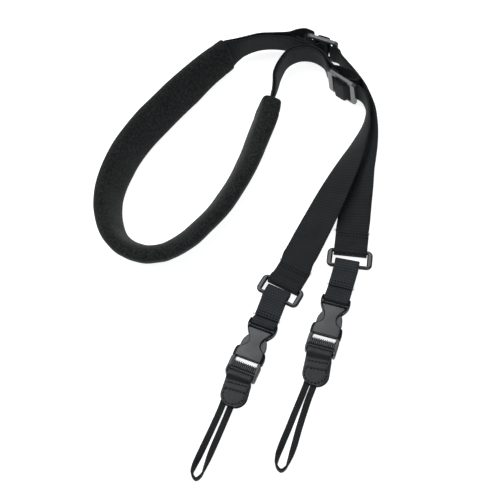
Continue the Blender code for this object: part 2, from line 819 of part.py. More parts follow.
def make_prong(side, material, collection, cutters):
    """The male half: a base that is open towards the socket, a ridged bar and two broad arms."""
    frame = buckle_frame(side)
    top = SOCKET_LENGTH + BUCKLE_FIT
    width = 2 * SOCKET_OUTLINE[-1][1] * BUCKLE_WIDTH
    inner = width - 2 * BUCKLE_RAIL
    centre = -top - PRONG_LENGTH / 2
    opening = 0.0043
    ridge_at = top + opening + RIDGED_BAR / 2
    slot_two = PRONG_LENGTH - opening - RIDGED_BAR - BUCKLE_BAR
    middle = -ridge_at - RIDGED_BAR / 2 - slot_two / 2
    holes = [round_box(inner, slot_two, HOLE_CORNER, (0, middle), 1)]
    base = plate(
        "buckle_prong_" + side,
        round_box(width, PRONG_LENGTH, 0.0022, (0, centre)),
        holes,
        BUCKLE_THICK - 0.0012,
        BUCKLE_EDGE,
        material,
        collection,
    )
    base.matrix_world = frame
    step = (BUCKLE_THICK - BUCKLE_BAR_THICK) / 2
    bar_y = -top - PRONG_LENGTH + BUCKLE_BAR / 2
    for sign, word in ((1, "above"), (-1, "below")):
        cut = box_cutter(
            f"end_bar_{word}_{side}",
            (TAB_WIDTH + 2 * WEB_SIDE_PLAY, BUCKLE_BAR + 0.002, step + 0.0002),
            (0, bar_y - 0.0009, sign * (BUCKLE_THICK - step + 0.0002) / 2),
            frame,
            cutters,
        )
        combine(base, cut, "DIFFERENCE")
    mouth = box_cutter(
        "mouth_" + side,
        (BUCKLE_OPENING, opening + 0.002, BUCKLE_THICK + 0.002),
        (0, -top - (opening - 0.002) / 2, 0),
        frame,
        cutters,
    )
    combine(base, mouth, "DIFFERENCE")
    arm_thick = BUCKLE_THICK - 2 * SOCKET_WALL - 2 * BUCKLE_FIT
    for sign, word in ((1, "right"), (-1, "left")):
        arm = plate(
            f"arm_{word}_{side}", arm_outline(sign), [], arm_thick, 0.0004, material, cutters
        )
        arm.matrix_world = frame
        combine(base, helper(arm), "UNION")
    pitch = (inner - 0.0012) / RIDGE_COUNT
    ridge_z = (BUCKLE_THICK - 0.0012) / 2
    for k in range(RIDGE_COUNT):
        x = (k - (RIDGE_COUNT - 1) / 2) * pitch
        ridge = box_cutter(
            f"ridge_{k}_{side}",
            (pitch * 0.5, RIDGED_BAR - 0.0014, 2 * RIDGE_HEIGHT),
            (x, -ridge_at, ridge_z),
            frame,
            cutters,
        )
        combine(base, ridge, "UNION")
    return base


def fold_round(bar_y, bar_half, bar_thick, thick, play, away, frame, shift):
    """A fold round a bar at bar_y in the frame, from its top side to its bottom side, bulging up
    the strap (away 1) or down it (away -1)."""
    across = frame.to_3x3() @ Vector((1, 0, 0))
    high = bar_thick / 2 + GAP + thick / 2
    reach = bar_half + play + thick / 2
    path = [(bar_y - away * (bar_half + 0.0003), high)]
    for k in range(7):
        angle = math.pi / 2 - math.pi * k / 6
        path.append((bar_y + away * (reach - high + high * math.cos(angle)), high * math.sin(angle)))
    path.append((bar_y - away * (bar_half + 0.0003), -high))
    return [(frame @ Vector((shift, y, z)), across) for y, z in path]


def make_link(side, material, collection):
    """The short webbing loop: round the ring's lower bar and the socket's bar, its end lapped."""
    ring = ring_frame(side)
    buckle = buckle_frame(side)
    shift = LINK_SHIFT[side] * LINK_WIDTH
    bar = Matrix.Translation((shift, -(RING_LENGTH - RING_BAR) / 2, 0))
    turned = ring @ bar @ Matrix.Rotation(-math.radians(LINK_TURN[side]), 4, "Z")
    at_ring = fold_round(
        0, RING_BAR / 2, RING_THICK, LINK_THICK, LINK_SLACK[side], 1, turned, 0
    )
    at_buckle = fold_round(
        -BUCKLE_BAR / 2, BUCKLE_BAR / 2, BUCKLE_BAR_THICK, LINK_THICK, BAR_PLAY, -1, buckle, 0
    )
    start, end = at_ring[0], at_buckle[0]
    length = math.dist(start[0][:2], end[0][:2])
    low = LIFT + LINK_THICK / 2
    pressed = low + LINK_THICK + GAP
    lapped = pressed + LINK_THICK + GAP

    def at(run, height):
        share = run / length
        spot = start[0].lerp(end[0], share)
        return (Vector((spot.x, spot.y, height)), start[1].lerp(end[1], share))

    lap = LINK_SEAM - LINK_LAP
    stations = [
        at(lap, pressed),
        at(LINK_SEAM, pressed),
        at((LINK_SEAM + length) / 2, pressed + 0.0012),
        *at_buckle,
        at((LINK_SEAM + length) / 2, low),
        at(LINK_SEAM, low),
        at(lap, low),
        at(0.004, low),
        *at_ring[::-1],
        at(0.004, max(start[0].z * 0.80, lapped + 0.0001)),
        at(lap, lapped + 0.0001),
        at(LINK_SEAM, lapped),
    ]
    rows = [(*p, *w.normalized()) for p, w in stations]
    read = [(Vector(r[:3]), Vector(r[3:])) for r in through(rows, 0.004)]
    return strip("link_" + side, read, LINK_WIDTH, LINK_THICK, material, collection)


def make_tab(side, material, collection):
    """The leather end: folded round the prong's bar, two layers down to a round end."""
    frame = buckle_frame(side)
    bar_y = -SOCKET_LENGTH - BUCKLE_FIT - PRONG_LENGTH + BUCKLE_BAR / 2
    fold = fold_round(bar_y, BUCKLE_BAR / 2, BUCKLE_BAR_THICK, TAB_THICK, BAR_PLAY, 1, frame, 0)
    spot = frame @ Vector((0, bar_y, 0))
    heading = math.radians(TAB_HEADING[side])
    down = Vector((-math.sin(heading), -math.cos(heading), 0))
    across = Vector((math.cos(heading), -math.sin(heading), 0))
    low = LIFT + TAB_THICK / 2
    high = low + TAB_THICK + TAPE_THICK + 2 * GAP + 0.0003
    nose = TAB_WIDTH / 2

    def layer(height, length, sideways):
        stations = []
        for run in (0.30, 0.45, 0.60):
            away = run * (length - nose)
            stations.append((spot + down * away + across * sideways * run, height))
        for k in range(7):
            angle = math.pi / 2 * k / 6
            away = length - nose + nose * math.sin(angle) * 0.985
            stations.append((spot + down * away + across * sideways, height))
        return [(Vector((p.x, p.y, h)), across) for p, h in stations]

    upper = layer(high, TAB_LENGTH[side], 0.0)
    lower = layer(low, TAB_LENGTH[side] - 0.0004, 0.0007)
    rows = upper[::-1] + fold + lower
    shares = []
    for k in range(7):
        shares.append(max(math.cos(math.pi / 2 * (6 - k) / 6 * 0.93), 0.12))
    shares += [1.0] * (3 + len(fold) + 3)
    shares += shares[:7][::-1]
    return strip(
        "leather_tab_" + side,
        rows,
        TAB_WIDTH,
        TAB_THICK,
        material,
        collection,
        lambda i, n: shares[i],
    )


def make_tape(side, material, collection):
    rows = through(TAPE_ROUTE[side], TAPE_STEP)
    stations = []
    for i, (x, y, z, edge) in enumerate(rows):
        a = rows[max(i - 1, 0)]
        b = rows[min(i + 1, len(rows) - 1)]
        travel = Vector((b[0] - a[0], b[1] - a[1], 0)).normalized()
        flat = travel.cross(UP)
        turn = math.radians(edge)
        stations.append((Vector((x, y, z)), flat * math.cos(turn) + UP * math.sin(turn)))
    return strip("tape_loop_" + side, stations, TAPE_WIDTH, TAPE_THICK, material, collection)


def centre_on_table(parts, cutters):
    """Moves everything so that the middle of the footprint, without the tape loops, is at x = y = 0."""
    graph = bpy.context.evaluated_depsgraph_get()
    spots = []
    for made in parts.objects:
        if not made.name.startswith("tape_loop"):
            mesh = made.evaluated_get(graph).to_mesh()
            spots += [made.matrix_world @ vertex.co for vertex in mesh.vertices]
    middle = Vector([(min(s[k] for s in spots) + max(s[k] for s in spots)) / 2 for k in (0, 1)] + [0])
    for made in [*parts.objects, *cutters.objects]:
        made.matrix_world = Matrix.Translation(-middle) @ made.matrix_world


def main():
    clear_scene()
    parts = make_collection("camera_neck_strap")
    cutters = make_collection("cutters")
    padding = make_material("padded_knit", (0.018, 0.019, 0.018), 0.95)
    webbing = make_material("nylon_webbing", (0.020, 0.021, 0.022), 0.8)
    plastic = make_material("acetal", (0.075, 0.080, 0.088), 0.4)
    glossy = make_material("glossy_acetal", (0.10, 0.10, 0.105), 0.25)
    leather = make_material("black_leather", (0.028, 0.030, 0.032), 0.5)
    make_pad(padding, parts)
    for side in ("right", "left"):
        make_webbing(side, webbing, parts)
        make_adjuster(side, glossy, parts)
        make_ring(side, plastic, parts)
        make_link(side, webbing, parts)
        make_socket(side, plastic, parts, cutters)
        make_prong(side, plastic, parts, cutters)
        make_tab(side, leather, parts)
        make_tape(side, webbing, parts)
    centre_on_table(parts, cutters)


main()
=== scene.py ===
# %% [markdown]
# # A camera neck strap, built piece by piece
# The strap is a padded sleeve for the neck, two 25 mm nylon webbings with three-bar adjusters, and
# at each end a ring, a short webbing loop, a side-release buckle, a leather end and a narrow tape
# loop for the camera's lug. The solids of the part are already in place. This lesson dresses them:
# each piece is drawn finer along the same lines, and then gets the finish of its real material.

import math

import bmesh
import bpy
import numpy as np
from mathutils import Matrix, Vector


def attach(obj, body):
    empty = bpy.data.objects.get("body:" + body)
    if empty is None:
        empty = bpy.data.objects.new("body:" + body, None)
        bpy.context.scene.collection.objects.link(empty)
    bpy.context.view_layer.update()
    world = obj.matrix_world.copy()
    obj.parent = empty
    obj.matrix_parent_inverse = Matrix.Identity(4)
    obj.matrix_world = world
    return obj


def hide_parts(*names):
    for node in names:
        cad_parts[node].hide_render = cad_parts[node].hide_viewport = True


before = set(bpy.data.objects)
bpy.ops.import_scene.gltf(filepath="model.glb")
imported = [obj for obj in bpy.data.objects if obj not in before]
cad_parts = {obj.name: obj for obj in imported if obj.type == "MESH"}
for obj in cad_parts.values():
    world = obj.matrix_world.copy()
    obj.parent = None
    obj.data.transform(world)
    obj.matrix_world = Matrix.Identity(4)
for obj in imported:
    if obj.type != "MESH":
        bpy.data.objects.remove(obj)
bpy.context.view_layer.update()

# %% [markdown]
# ## The camera
# The photograph looks down at the strap from about 60 degrees above the table, from far enough
# away that near and far parts keep almost the same size. A long lens from 1.15 m gives that view.
# The lens follows from the angle of view: half of it has the tangent 250 / 1530.

# %% The camera
CAMERA_PLACE = (0.0104, -0.60595, 0.9959)
CAMERA_AIM = (0.0104, -0.03095, 0.0)
FILM = 36.0             # width of the sensor, mm
HALF_VIEW = 250 / 1530  # tangent of half the angle of view


def add_object(name, data):
    made = bpy.data.objects.new(name, data)
    bpy.context.scene.collection.objects.link(made)
    return made


def look(thing, place, aim):
    """Puts a camera or a lamp at its place and turns it to its aim."""
    thing.location = place
    thing.rotation_mode = "QUATERNION"
    thing.rotation_quaternion = (Vector(aim) - Vector(place)).to_track_quat("-Z", "Y")


camera = add_object("camera", bpy.data.cameras.new("camera"))
camera.data.sensor_width = FILM
camera.data.lens = FILM / 2 / HALF_VIEW
camera.data.clip_start = 0.05
look(camera, CAMERA_PLACE, CAMERA_AIM)
bpy.context.scene.camera = camera
print("lens", round(camera.data.lens, 1), "mm")

# %% [markdown]
# ## Curves through a few points
# Webbing, tape and the sleeve all follow a line in space. A maker pins such a line down at a few
# places and lets the material find its own smooth way between them. The curve here does the same:
# it passes through every row of numbers, and everything after x, y, z is carried along smoothly,
# such as how far the webbing leans at that place.

# %% A smooth curve through rows
SPREAD = 0.220          # side to side, metres
REACH = 0.310           # near to far
CENTRED = Vector((-0.000097, 0.000052, 0.0))    # brings the layout to the middle of the table
UP = Vector((0, 0, 1))
GAP = 0.0003            # between pieces that touch
LIFT = 0.0002           # of the lowest layer off the table
SIDES = ("right", "left")


def through(rows, step):
    """A smooth curve through rows that start with x, y, z, read about every step metres."""
    knots = [0.0]
    for a, b in zip(rows, rows[1:]):
        knots.append(knots[-1] + max(math.dist(a[:3], b[:3]), 1e-6) ** 0.5)
    before = [2 * p - q for p, q in zip(rows[0], rows[1])]
    after = [2 * p - q for p, q in zip(rows[-1], rows[-2])]
    points = np.array([before, *rows, after], float)
    knots = [2 * knots[0] - knots[1], *knots, 2 * knots[-1] - knots[-2]]
    read = []
    for i in range(1, len(points) - 2):
        p, k = points[i - 1 : i + 3], knots[i - 1 : i + 3]
        count = max(1, math.ceil(math.dist(p[1][:3], p[2][:3]) / step))
        for n in range(count):
            t = k[1] + (k[2] - k[1]) * n / count
            a = [p[m] + (p[m + 1] - p[m]) * (t - k[m]) / (k[m + 1] - k[m]) for m in range(3)]
            b = [a[m] + (a[m + 1] - a[m]) * (t - k[m]) / (k[m + 2] - k[m]) for m in range(2)]
            read.append(b[0] + (b[1] - b[0]) * (t - k[1]) / (k[2] - k[1]))
    read.append(points[-2])
    return np.array(read)


def run_of(points):
    """The distance along a line, at each of its points."""
    return np.concatenate(([0.0], np.cumsum(np.linalg.norm(np.diff(points, axis=0), axis=1))))


def even(rows, step):
    """The same line read at even distances, and those distances."""
    run = run_of(rows[:, :3])
    spots = np.linspace(0.0, run[-1], max(2, round(run[-1] / step)))
    return np.stack([np.interp(spots, run, column) for column in rows.T], axis=1), spots


def unit(rows):
    return rows / np.linalg.norm(rows, axis=-1, keepdims=True)


def standing(rows):
    """Centre, travel and the upper edge's direction of rows of x, y, z, lean (90 is flat)."""
    travel = np.gradient(rows[:, :3], axis=0)
    travel[:, 2] = 0
    travel = unit(travel)
    turn = np.radians(rows[:, 3:4])
    return rows[:, :3], travel, np.cross(travel, UP) * np.sin(turn) + np.array(UP) * np.cos(turn)

# %% [markdown]
# ## A skin over rings of points
# Every soft piece here is a closed skin: many rings of points, one behind the other, joined by
# small four-sided faces. Threads and rods are made the same way, many in one mesh. The skin also
# stores where each face lies on the flat material, in real metres across and along. A weave drawn
# from those numbers follows the webbing round every fold.

# %% The skin
def keep_piece(made, slot, *nodes):
    """Fixes a piece to the part, and hides the solids that it stands in for. slot is not used."""
    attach(made, "root")
    if nodes:
        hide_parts(*nodes)
    return made


def mesh_of(name, points, faces):
    mesh = bpy.data.meshes.new(name)
    mesh.from_pydata(points, [], faces)
    return mesh


def settle(mesh, join=0.0):
    """Joins points closer than join, and turns every face outwards."""
    work = bmesh.new()
    work.from_mesh(mesh)
    if join:
        bmesh.ops.remove_doubles(work, verts=work.verts, dist=join)
    bmesh.ops.recalc_face_normals(work, faces=work.faces)
    work.to_mesh(mesh)
    work.free()


def add_piece(name, mesh, finish, sharp=None):
    """An object from a mesh, smooth apart from edges sharper than an angle in degrees."""
    mesh.materials.clear()
    mesh.materials.append(finish)
    mesh.shade_smooth()
    if sharp:
        mesh.set_sharp_from_angle(angle=math.radians(sharp))
    return add_object(name, mesh)


def skin(name, rings, along, around, finish, capped=True, sharp=50):
    """A closed tube from an array of rings, with its flat measures as UV in metres."""
    count, sides = rings.shape[:2]
    i, k = np.meshgrid(np.arange(count - 1), np.arange(sides), indexing="ij")
    j = (k + 1) % sides
    corners = (i * sides + k, (i + 1) * sides + k, (i + 1) * sides + j, i * sides + j)
    faces = np.stack(corners, -1).reshape(-1, 4).tolist()
    u = np.stack((around[k], around[k], around[k + 1], around[k + 1]), -1).reshape(-1)
    v = np.stack((along[i], along[i + 1], along[i + 1], along[i]), -1).reshape(-1)
    if capped:
        faces += [range(sides), range((count - 1) * sides, count * sides)[::-1]]
        u = np.concatenate((u, np.tile(around[:sides], 2)))
        v = np.concatenate((v, np.full(sides, along[0]), np.full(sides, along[-1])))
    mesh = mesh_of(name, rings.reshape(-1, 3), [tuple(face) for face in faces])
    layer = mesh.uv_layers.new(name="flat")
    layer.uv.foreach_set("vector", np.stack((u, v), -1).astype(np.float32).ravel())
    settle(mesh)
    return add_piece(name, mesh, finish, sharp)


def circle(centre, side, up, radius, count):
    angle = 2 * math.pi * np.arange(count) / count
    return centre + radius * (np.outer(np.cos(angle), side) + np.outer(np.sin(angle), up))


def tubes(name, all_rings, finish, place=None):
    """One mesh of many small closed tubes, each a list of rings."""
    points, faces = [], []
    for rings in map(np.array, all_rings):
        base, (count, sides) = len(points), rings.shape[:2]
        points += rings.reshape(-1, 3).tolist()
        last = base + (count - 1) * sides
        for row in range(base, last, sides):
            for k in range(sides):
                j = (k + 1) % sides
                faces.append((row + k, row + j, row + sides + j, row + sides + k))
        faces += [tuple(range(base, base + sides))[::-1], tuple(range(last, last + sides))]
    mesh = mesh_of(name, points, faces)
    if place:
        mesh.transform(place)
    return add_piece(name, mesh, finish)

# %% [markdown]
# ## Colour and nodes
# Colours are given as sRGB codes, but light is added up in linear numbers, so one function
# turns a code into linear red, green and blue. Another adds one node with its settings and links. A
# few more name what most materials need: a sum, a new range, noise, and the last two links.

# %% Helpers for materials
def linear(code):
    """An sRGB code such as #282b2b as linear red, green, blue and a full alpha."""
    parts = [int(code[k : k + 2], 16) / 255 for k in (1, 3, 5)]
    return (*[c / 12.92 if c <= 0.04045 else ((c + 0.055) / 1.055) ** 2.4 for c in parts], 1.0)


def node(tree, kind, sockets=None, **settings):
    """Adds one node. A socket takes a value, or the output that is linked to it."""
    made = tree.nodes.new("ShaderNode" + kind)
    for name, value in settings.items():
        setattr(made, name, value)
    for name, value in (sockets or {}).items():
        if isinstance(value, bpy.types.NodeSocket):
            tree.links.new(value, made.inputs[name])
        else:
            made.inputs[name].default_value = value
    return made


def start_finish(name, **sockets):
    """A new material with the fixed numbers of its surface, and its node tree and shader."""
    made = bpy.data.materials.new(name)
    made.use_nodes = True
    shader = made.node_tree.nodes["Principled BSDF"]
    for word, value in sockets.items():
        shader.inputs[word.replace("_", " ")].default_value = value
    return made, made.node_tree, shader


def calc(tree, operation, *values):
    """The result of one Math node. MULTIPLY_ADD gives a * b + c."""
    return node(tree, "Math", dict(enumerate(values)), operation=operation).outputs[0]


def remap(tree, *values):
    """A value, the two limits that it lies between and the two that it is moved to."""
    return node(tree, "MapRange", dict(enumerate(values))).outputs[0]


def noise(tree, scale, detail, output="Fac"):
    """Noise in the object's own space, with scale cells to the metre."""
    sockets = {"Vector": node(tree, "TexCoord").outputs["Object"], "Scale": scale, "Detail": detail}
    return node(tree, "TexNoise", sockets).outputs[output]


def blend(tree, share, low_code, high_code):
    colours = {0: share, 6: linear(low_code), 7: linear(high_code)}
    return node(tree, "Mix", colours, data_type="RGBA").outputs[2]


def cloth_measures(tree):
    """Distance across and along the flat cloth, in metres."""
    flat = node(tree, "SeparateXYZ", {0: node(tree, "UVMap", uv_map="flat").outputs[0]})
    return flat.outputs["X"], flat.outputs["Y"]


def dress(tree, shader, colour, value, height, distance, strength):
    """Links a colour, made lighter or darker by value, and a relief distance metres deep."""
    shade = node(tree, "HueSaturation", {"Color": colour, "Value": value})
    tree.links.new(shade.outputs[0], shader.inputs["Base Color"])
    bump = node(tree, "Bump", {"Height": height, "Distance": distance, "Strength": strength})
    tree.links.new(bump.outputs[0], shader.inputs["Normal"])


print("pad colour", [round(c, 4) for c in linear("#282b2b")])

# %% [markdown]
# ## Ribbed nylon webbing
# Strap webbing is woven from thick nylon yarns. Heavy weft yarns lie across it and the warp yarns
# cross over them in turn, so the face shows low cross ribs, each broken into small grains. The
# surface scatters light: matt, with a slight sheen from the fibres. The ribs are drawn from the
# distance along the webbing and the grains from the distance across, in real millimetres. The
# grains are drawn a little coarser than the real yarns, so that they still show in a picture.

# %% A woven finish
def woven(name, crown, valley_shade, rib, yarn, relief, roughness):
    """Ribs every rib metres along, grains every yarn metres across, relief metres deep."""
    made, tree, shader = start_finish(
        name, Roughness=roughness, IOR=1.53, Specular_IOR_Level=0.15, Sheen_Weight=0.02,
        Sheen_Roughness=0.5,
    )
    across, along = cloth_measures(tree)
    turns = calc(tree, "MULTIPLY", along, 1 / rib)
    ribs = calc(tree, "COSINE", calc(tree, "MULTIPLY", turns, 2 * math.pi))
    # every other rib moves the grains by half a yarn
    moved = calc(tree, "MULTIPLY_ADD", across, 2 / yarn, calc(tree, "FLOOR", turns))
    grains = calc(tree, "SINE", calc(tree, "MULTIPLY", moved, math.pi))
    # the colour follows this relief: the low places between ribs and grains get the valley colour,
    # painted shade, and the noise adds random tone
    height = calc(tree, "MULTIPLY_ADD", ribs, 0.20, 0.35)
    height = calc(tree, "MULTIPLY_ADD", grains, 0.20, height)
    height = calc(tree, "MULTIPLY_ADD", noise(tree, 1400, 3), 0.35, height)
    worn = remap(tree, noise(tree, 60, 2), 0.3, 0.7, 0.82, 1.18)
    dress(tree, shader, blend(tree, height, valley_shade, crown), worn, height, relief, 0.9)
    return made


RIB = 0.0024            # from one rib to the next, measured on the photograph
FINE_RIB = 0.0020       # of the short loops
nylon_webbing = woven("ribbed_nylon_webbing", "#222527", "#0d0f10", RIB, 0.0017, 0.00015, 0.80)
fine_webbing = woven(
    "fine_woven_nylon_webbing", "#34383b", "#060708", FINE_RIB, 0.0018, 0.00024, 0.80
)
woven_tape = woven("close_woven_nylon_tape", "#202325", "#0b0c0d", 0.0013, 0.0011, 0.00016, 0.78)
print("woven finishes:", nylon_webbing.name, fine_webbing.name, woven_tape.name)

# %% [markdown]
# ## A band along a route
# Webbing, tape and leather are all flat bands with soft edges. The band is drawn as one flat ring
# with round ends, its selvedges, set across the route at every step. Low ribs are pressed into it
# as real relief, so that they also show in the outline and where the band turns.

# %% The band
def across_profile(width, thickness, inner, arc):
    """Points round a flat section: inner points on each face, arc points on each selvedge."""
    half, edge = width / 2, thickness / 2
    top = [(-half + edge + (width - thickness) * (k + 1) / (inner + 1), edge) for k in range(inner)]
    turn = [math.pi / 2 - math.pi * (k + 0.5) / arc for k in range(arc)]
    right = [(half - edge + edge * math.cos(a), edge * math.sin(a)) for a in turn]
    return np.array(top + right + [(-x, -y) for x, y in top + right])


def closed(ring):
    return np.vstack((ring, ring[:1]))


def band(
    name, stations, width, thickness, finish, inner=9, arc=5, rib=None, ripple=0.0, lift=None,
    swell=None,
):
    """A band along rows of centre and across direction, and a seventh number if the width varies.

    lift moves the surface by along and across; swell makes it thicker by along.
    """
    rows, along = even(stations, 0.0005 if rib else 0.0007)     # ribs need the finer steps
    centre, across = rows[:, :3], unit(rows[:, 3:6])
    facing = unit(np.cross(across, np.gradient(centre, axis=0)))
    section = across_profile(width, thickness, inner, arc)
    wide = rows[:, 6] if rows.shape[1] > 6 else np.ones(len(rows))
    x = np.outer(wide, section[:, 0])
    y = np.outer(swell(along) if swell else np.ones(len(rows)), section[:, 1])
    if rib:
        flatness = np.clip((width / 2 - np.abs(section[:, 0])) / 0.0012, 0.15, 1.0)
        waves = np.abs(np.sin(math.pi * along / rib)) ** 0.7 - 1.0
        y += np.sign(section[:, 1]) * flatness * ripple * waves[:, None]
    if lift:
        y += lift(along[:, None], x)
    rings = centre[:, None] + across[:, None] * x[..., None] + facing[:, None] * y[..., None]
    return skin(name, rings, along, run_of(closed(section)), finish)

# %% [markdown]
# ## The tape loops
# The narrow tape goes through the camera's lug. It leaves the leather end, lies flat on the table,
# and stands on edge where it turns back, because a flat tape bends easily only over its flat side.
# The route gives x, y, z and how far the tape stands up.

# %% The tapes' routes
TAPE_WIDTH = 0.0048
TAPE_THICK = 0.0011
TAPE_ROUTE = {
    "right": (
        (0.053, -0.1345, 0.0024, 0), (0.0507, -0.1432, 0.0024, 0), (0.0493, -0.1468, 0.0021, 0),
        (0.0466, -0.1535, 0.0011, 0), (0.0424, -0.164, 0.0009, 0), (0.0376, -0.1765, 0.0009, 5),
        (0.0325, -0.1895, 0.0014, 22), (0.0295, -0.1985, 0.0023, 60), (0.0288, -0.205, 0.0028, 86),
        (0.0318, -0.209, 0.0029, 90), (0.0352, -0.2068, 0.0028, 86), (0.038, -0.2005, 0.0023, 60),
        (0.0412, -0.1905, 0.0014, 22), (0.045, -0.1765, 0.0009, 5), (0.049, -0.1635, 0.0009, 0),
        (0.0524, -0.153, 0.0011, 0), (0.0551, -0.1462, 0.0021, 0), (0.0563, -0.1425, 0.0024, 0),
        (0.0582, -0.134, 0.0024, 0),
    ),
    "left": (
        (-0.0049, -0.147, 0.0024, 0), (-0.0079, -0.1555, 0.0024, 0), (-0.0094, -0.16, 0.0022, 0),
        (-0.012, -0.1663, 0.0011, 0), (-0.0158, -0.1755, 0.0009, 0), (-0.0196, -0.1845, 0.0009, 5),
        (-0.0246, -0.1965, 0.0014, 22), (-0.0283, -0.2055, 0.0023, 60),
        (-0.0296, -0.211, 0.0028, 86), (-0.027, -0.2152, 0.0029, 90),
        (-0.0233, -0.2125, 0.0028, 86), (-0.0202, -0.205, 0.0023, 60),
        (-0.0167, -0.195, 0.0014, 22), (-0.0125, -0.184, 0.0009, 5), (-0.0086, -0.174, 0.0009, 0),
        (-0.0055, -0.166, 0.0011, 0), (-0.0031, -0.16, 0.0022, 0), (-0.002, -0.157, 0.0024, 0),
        (0.0012, -0.148, 0.0024, 0),
    ),
}

# %% The tapes
def lay_tape(side):
    rows = through(TAPE_ROUTE[side], 0.0008)
    rows[:, :3] += CENTRED
    rows[:, 3] = 90 - rows[:, 3]
    centre, _, across = standing(rows)
    length = float(run_of(centre)[-1])

    def fuller(along):
        """The woven tube is pressed flat in the leather and fills out away from it."""
        return 1 + 0.55 * np.clip(np.minimum(along, length - along) / 0.022 - 0.9, 0, 1)

    stations = np.hstack((centre, across))
    name = "tape_" + side
    made = band(name, stations, TAPE_WIDTH, TAPE_THICK, woven_tape, inner=3, arc=7, swell=fuller)
    keep_piece(made, "tape", "tape_loop_" + side)
    print(made.name, round(length * 1000), "mm of tape")


for side in SIDES:
    lay_tape(side)

# %% [markdown]
# ## The neck pad's cover
# The pad is a sleeve of thin foam laminated with a fine knitted cover, the kind used on wetsuits.
# Knit takes dye deeply and scatters light in every direction, so it looks soft and almost black,
# with a faint bloom at its outline from the loose fibres. Real loops are about 0.4 mm, too fine for
# this picture, so they are drawn at 0.9 mm. Small pills of fibre make it mottled, and a slow change
# of tone stands for wear and dust.

# %% The knitted cover
LOOP = 0.0009           # one knitted loop, drawn coarser than the real 0.4 mm


def knitted(name, light, dark):
    made, tree, shader = start_finish(
        name, Roughness=0.95, IOR=1.5, Specular_IOR_Level=0.12, Sheen_Weight=0.10,
        Sheen_Roughness=0.45,
    )
    across, along = cloth_measures(tree)
    wales = calc(tree, "COSINE", calc(tree, "MULTIPLY", across, 2 * math.pi / (LOOP * 1.3)))
    rows = calc(tree, "MULTIPLY", along, 2 * math.pi / LOOP)
    loops = calc(tree, "SINE", calc(tree, "MULTIPLY_ADD", wales, 1.4, rows))
    height = calc(tree, "MULTIPLY_ADD", loops, 0.25, noise(tree, 2200, 3))
    worn = remap(tree, noise(tree, 38, 3), 0.3, 0.7, 0.86, 1.14)
    pills = remap(tree, noise(tree, 620, 2), 0.35, 0.65, 0.45, 1.55)
    value = calc(tree, "MULTIPLY", worn, pills)
    dress(tree, shader, blend(tree, height, dark, light), value, height, 0.00012, 0.7)
    return made


pad_cover = knitted("knitted_pad_cover", "#282b2b", "#080909")
print("cover:", pad_cover.name)

# %% [markdown]
# ## The neck pad
# The sleeve stands on its lower edge and leans outwards, bent round like a hairpin. Its section is
# a full, crowned oval, not a flat board: the foam pushes the cover out in the middle and the edges
# draw it in. The ends are turned in and stitched down, which leaves a collar with a shallow groove.
# Where the sleeve bends hard, the inner side has too much cloth and gathers in low puckers.

# %% The pad's route and section
PAD_WIDTH = 0.032
PAD_THICK = 0.012
PAD_WALL = 0.0023
HEM = 0.0085            # width of the turned and stitched collar
# share of the length, and there: the thickness, the height, and how square the section is
PLUMP = ((0.0, 0.45, 0.60, 0.80, 0.90, 0.95, 1.0), (1.0, 1.0, 1.16, 1.20, 1.32, 1.38, 1.36))
NARROW = ((0.0, 0.05, 0.10, 0.15, 0.70, 0.90, 1.0), (0.87, 0.91, 0.97, 1.0, 1.0, 0.985, 0.98))
SQUARE = ((0.0, 0.90, 0.97), (2.5, 2.5, 4.5))
# across (of SPREAD), along (of REACH), outward lean in degrees
PAD_ROUTE = (
    (-0.037, 0.453, 26), (-0.097, 0.413, 29), (-0.168, 0.356, 30), (-0.265, 0.274, 30),
    (-0.339, 0.204, 30), (-0.391, 0.137, 30), (-0.422, 0.077, 30), (-0.437, 0.028, 30),
    (-0.438, -0.013, 31), (-0.431, -0.047, 32), (-0.416, -0.081, 33), (-0.392, -0.106, 34),
    (-0.354, -0.127, 35), (-0.31, -0.138, 35), (-0.268, -0.138, 34), (-0.228, -0.13, 33),
    (-0.163, -0.099, 31), (-0.114, -0.063, 29), (-0.066, -0.022, 28), (-0.029, 0.019, 27),
    (0.029, 0.1, 24), (0.077, 0.194, 20), (0.101, 0.247, 17), (0.114, 0.284, 14),
)


def pad_line(step):
    rows = []
    for across, along, lean in PAD_ROUTE:
        edge = PAD_THICK / 2
        height = edge + (PAD_WIDTH / 2 - edge) * math.cos(math.radians(lean)) + LIFT
        rows.append((across * SPREAD, along * REACH, height, lean))
    return through(rows, step)


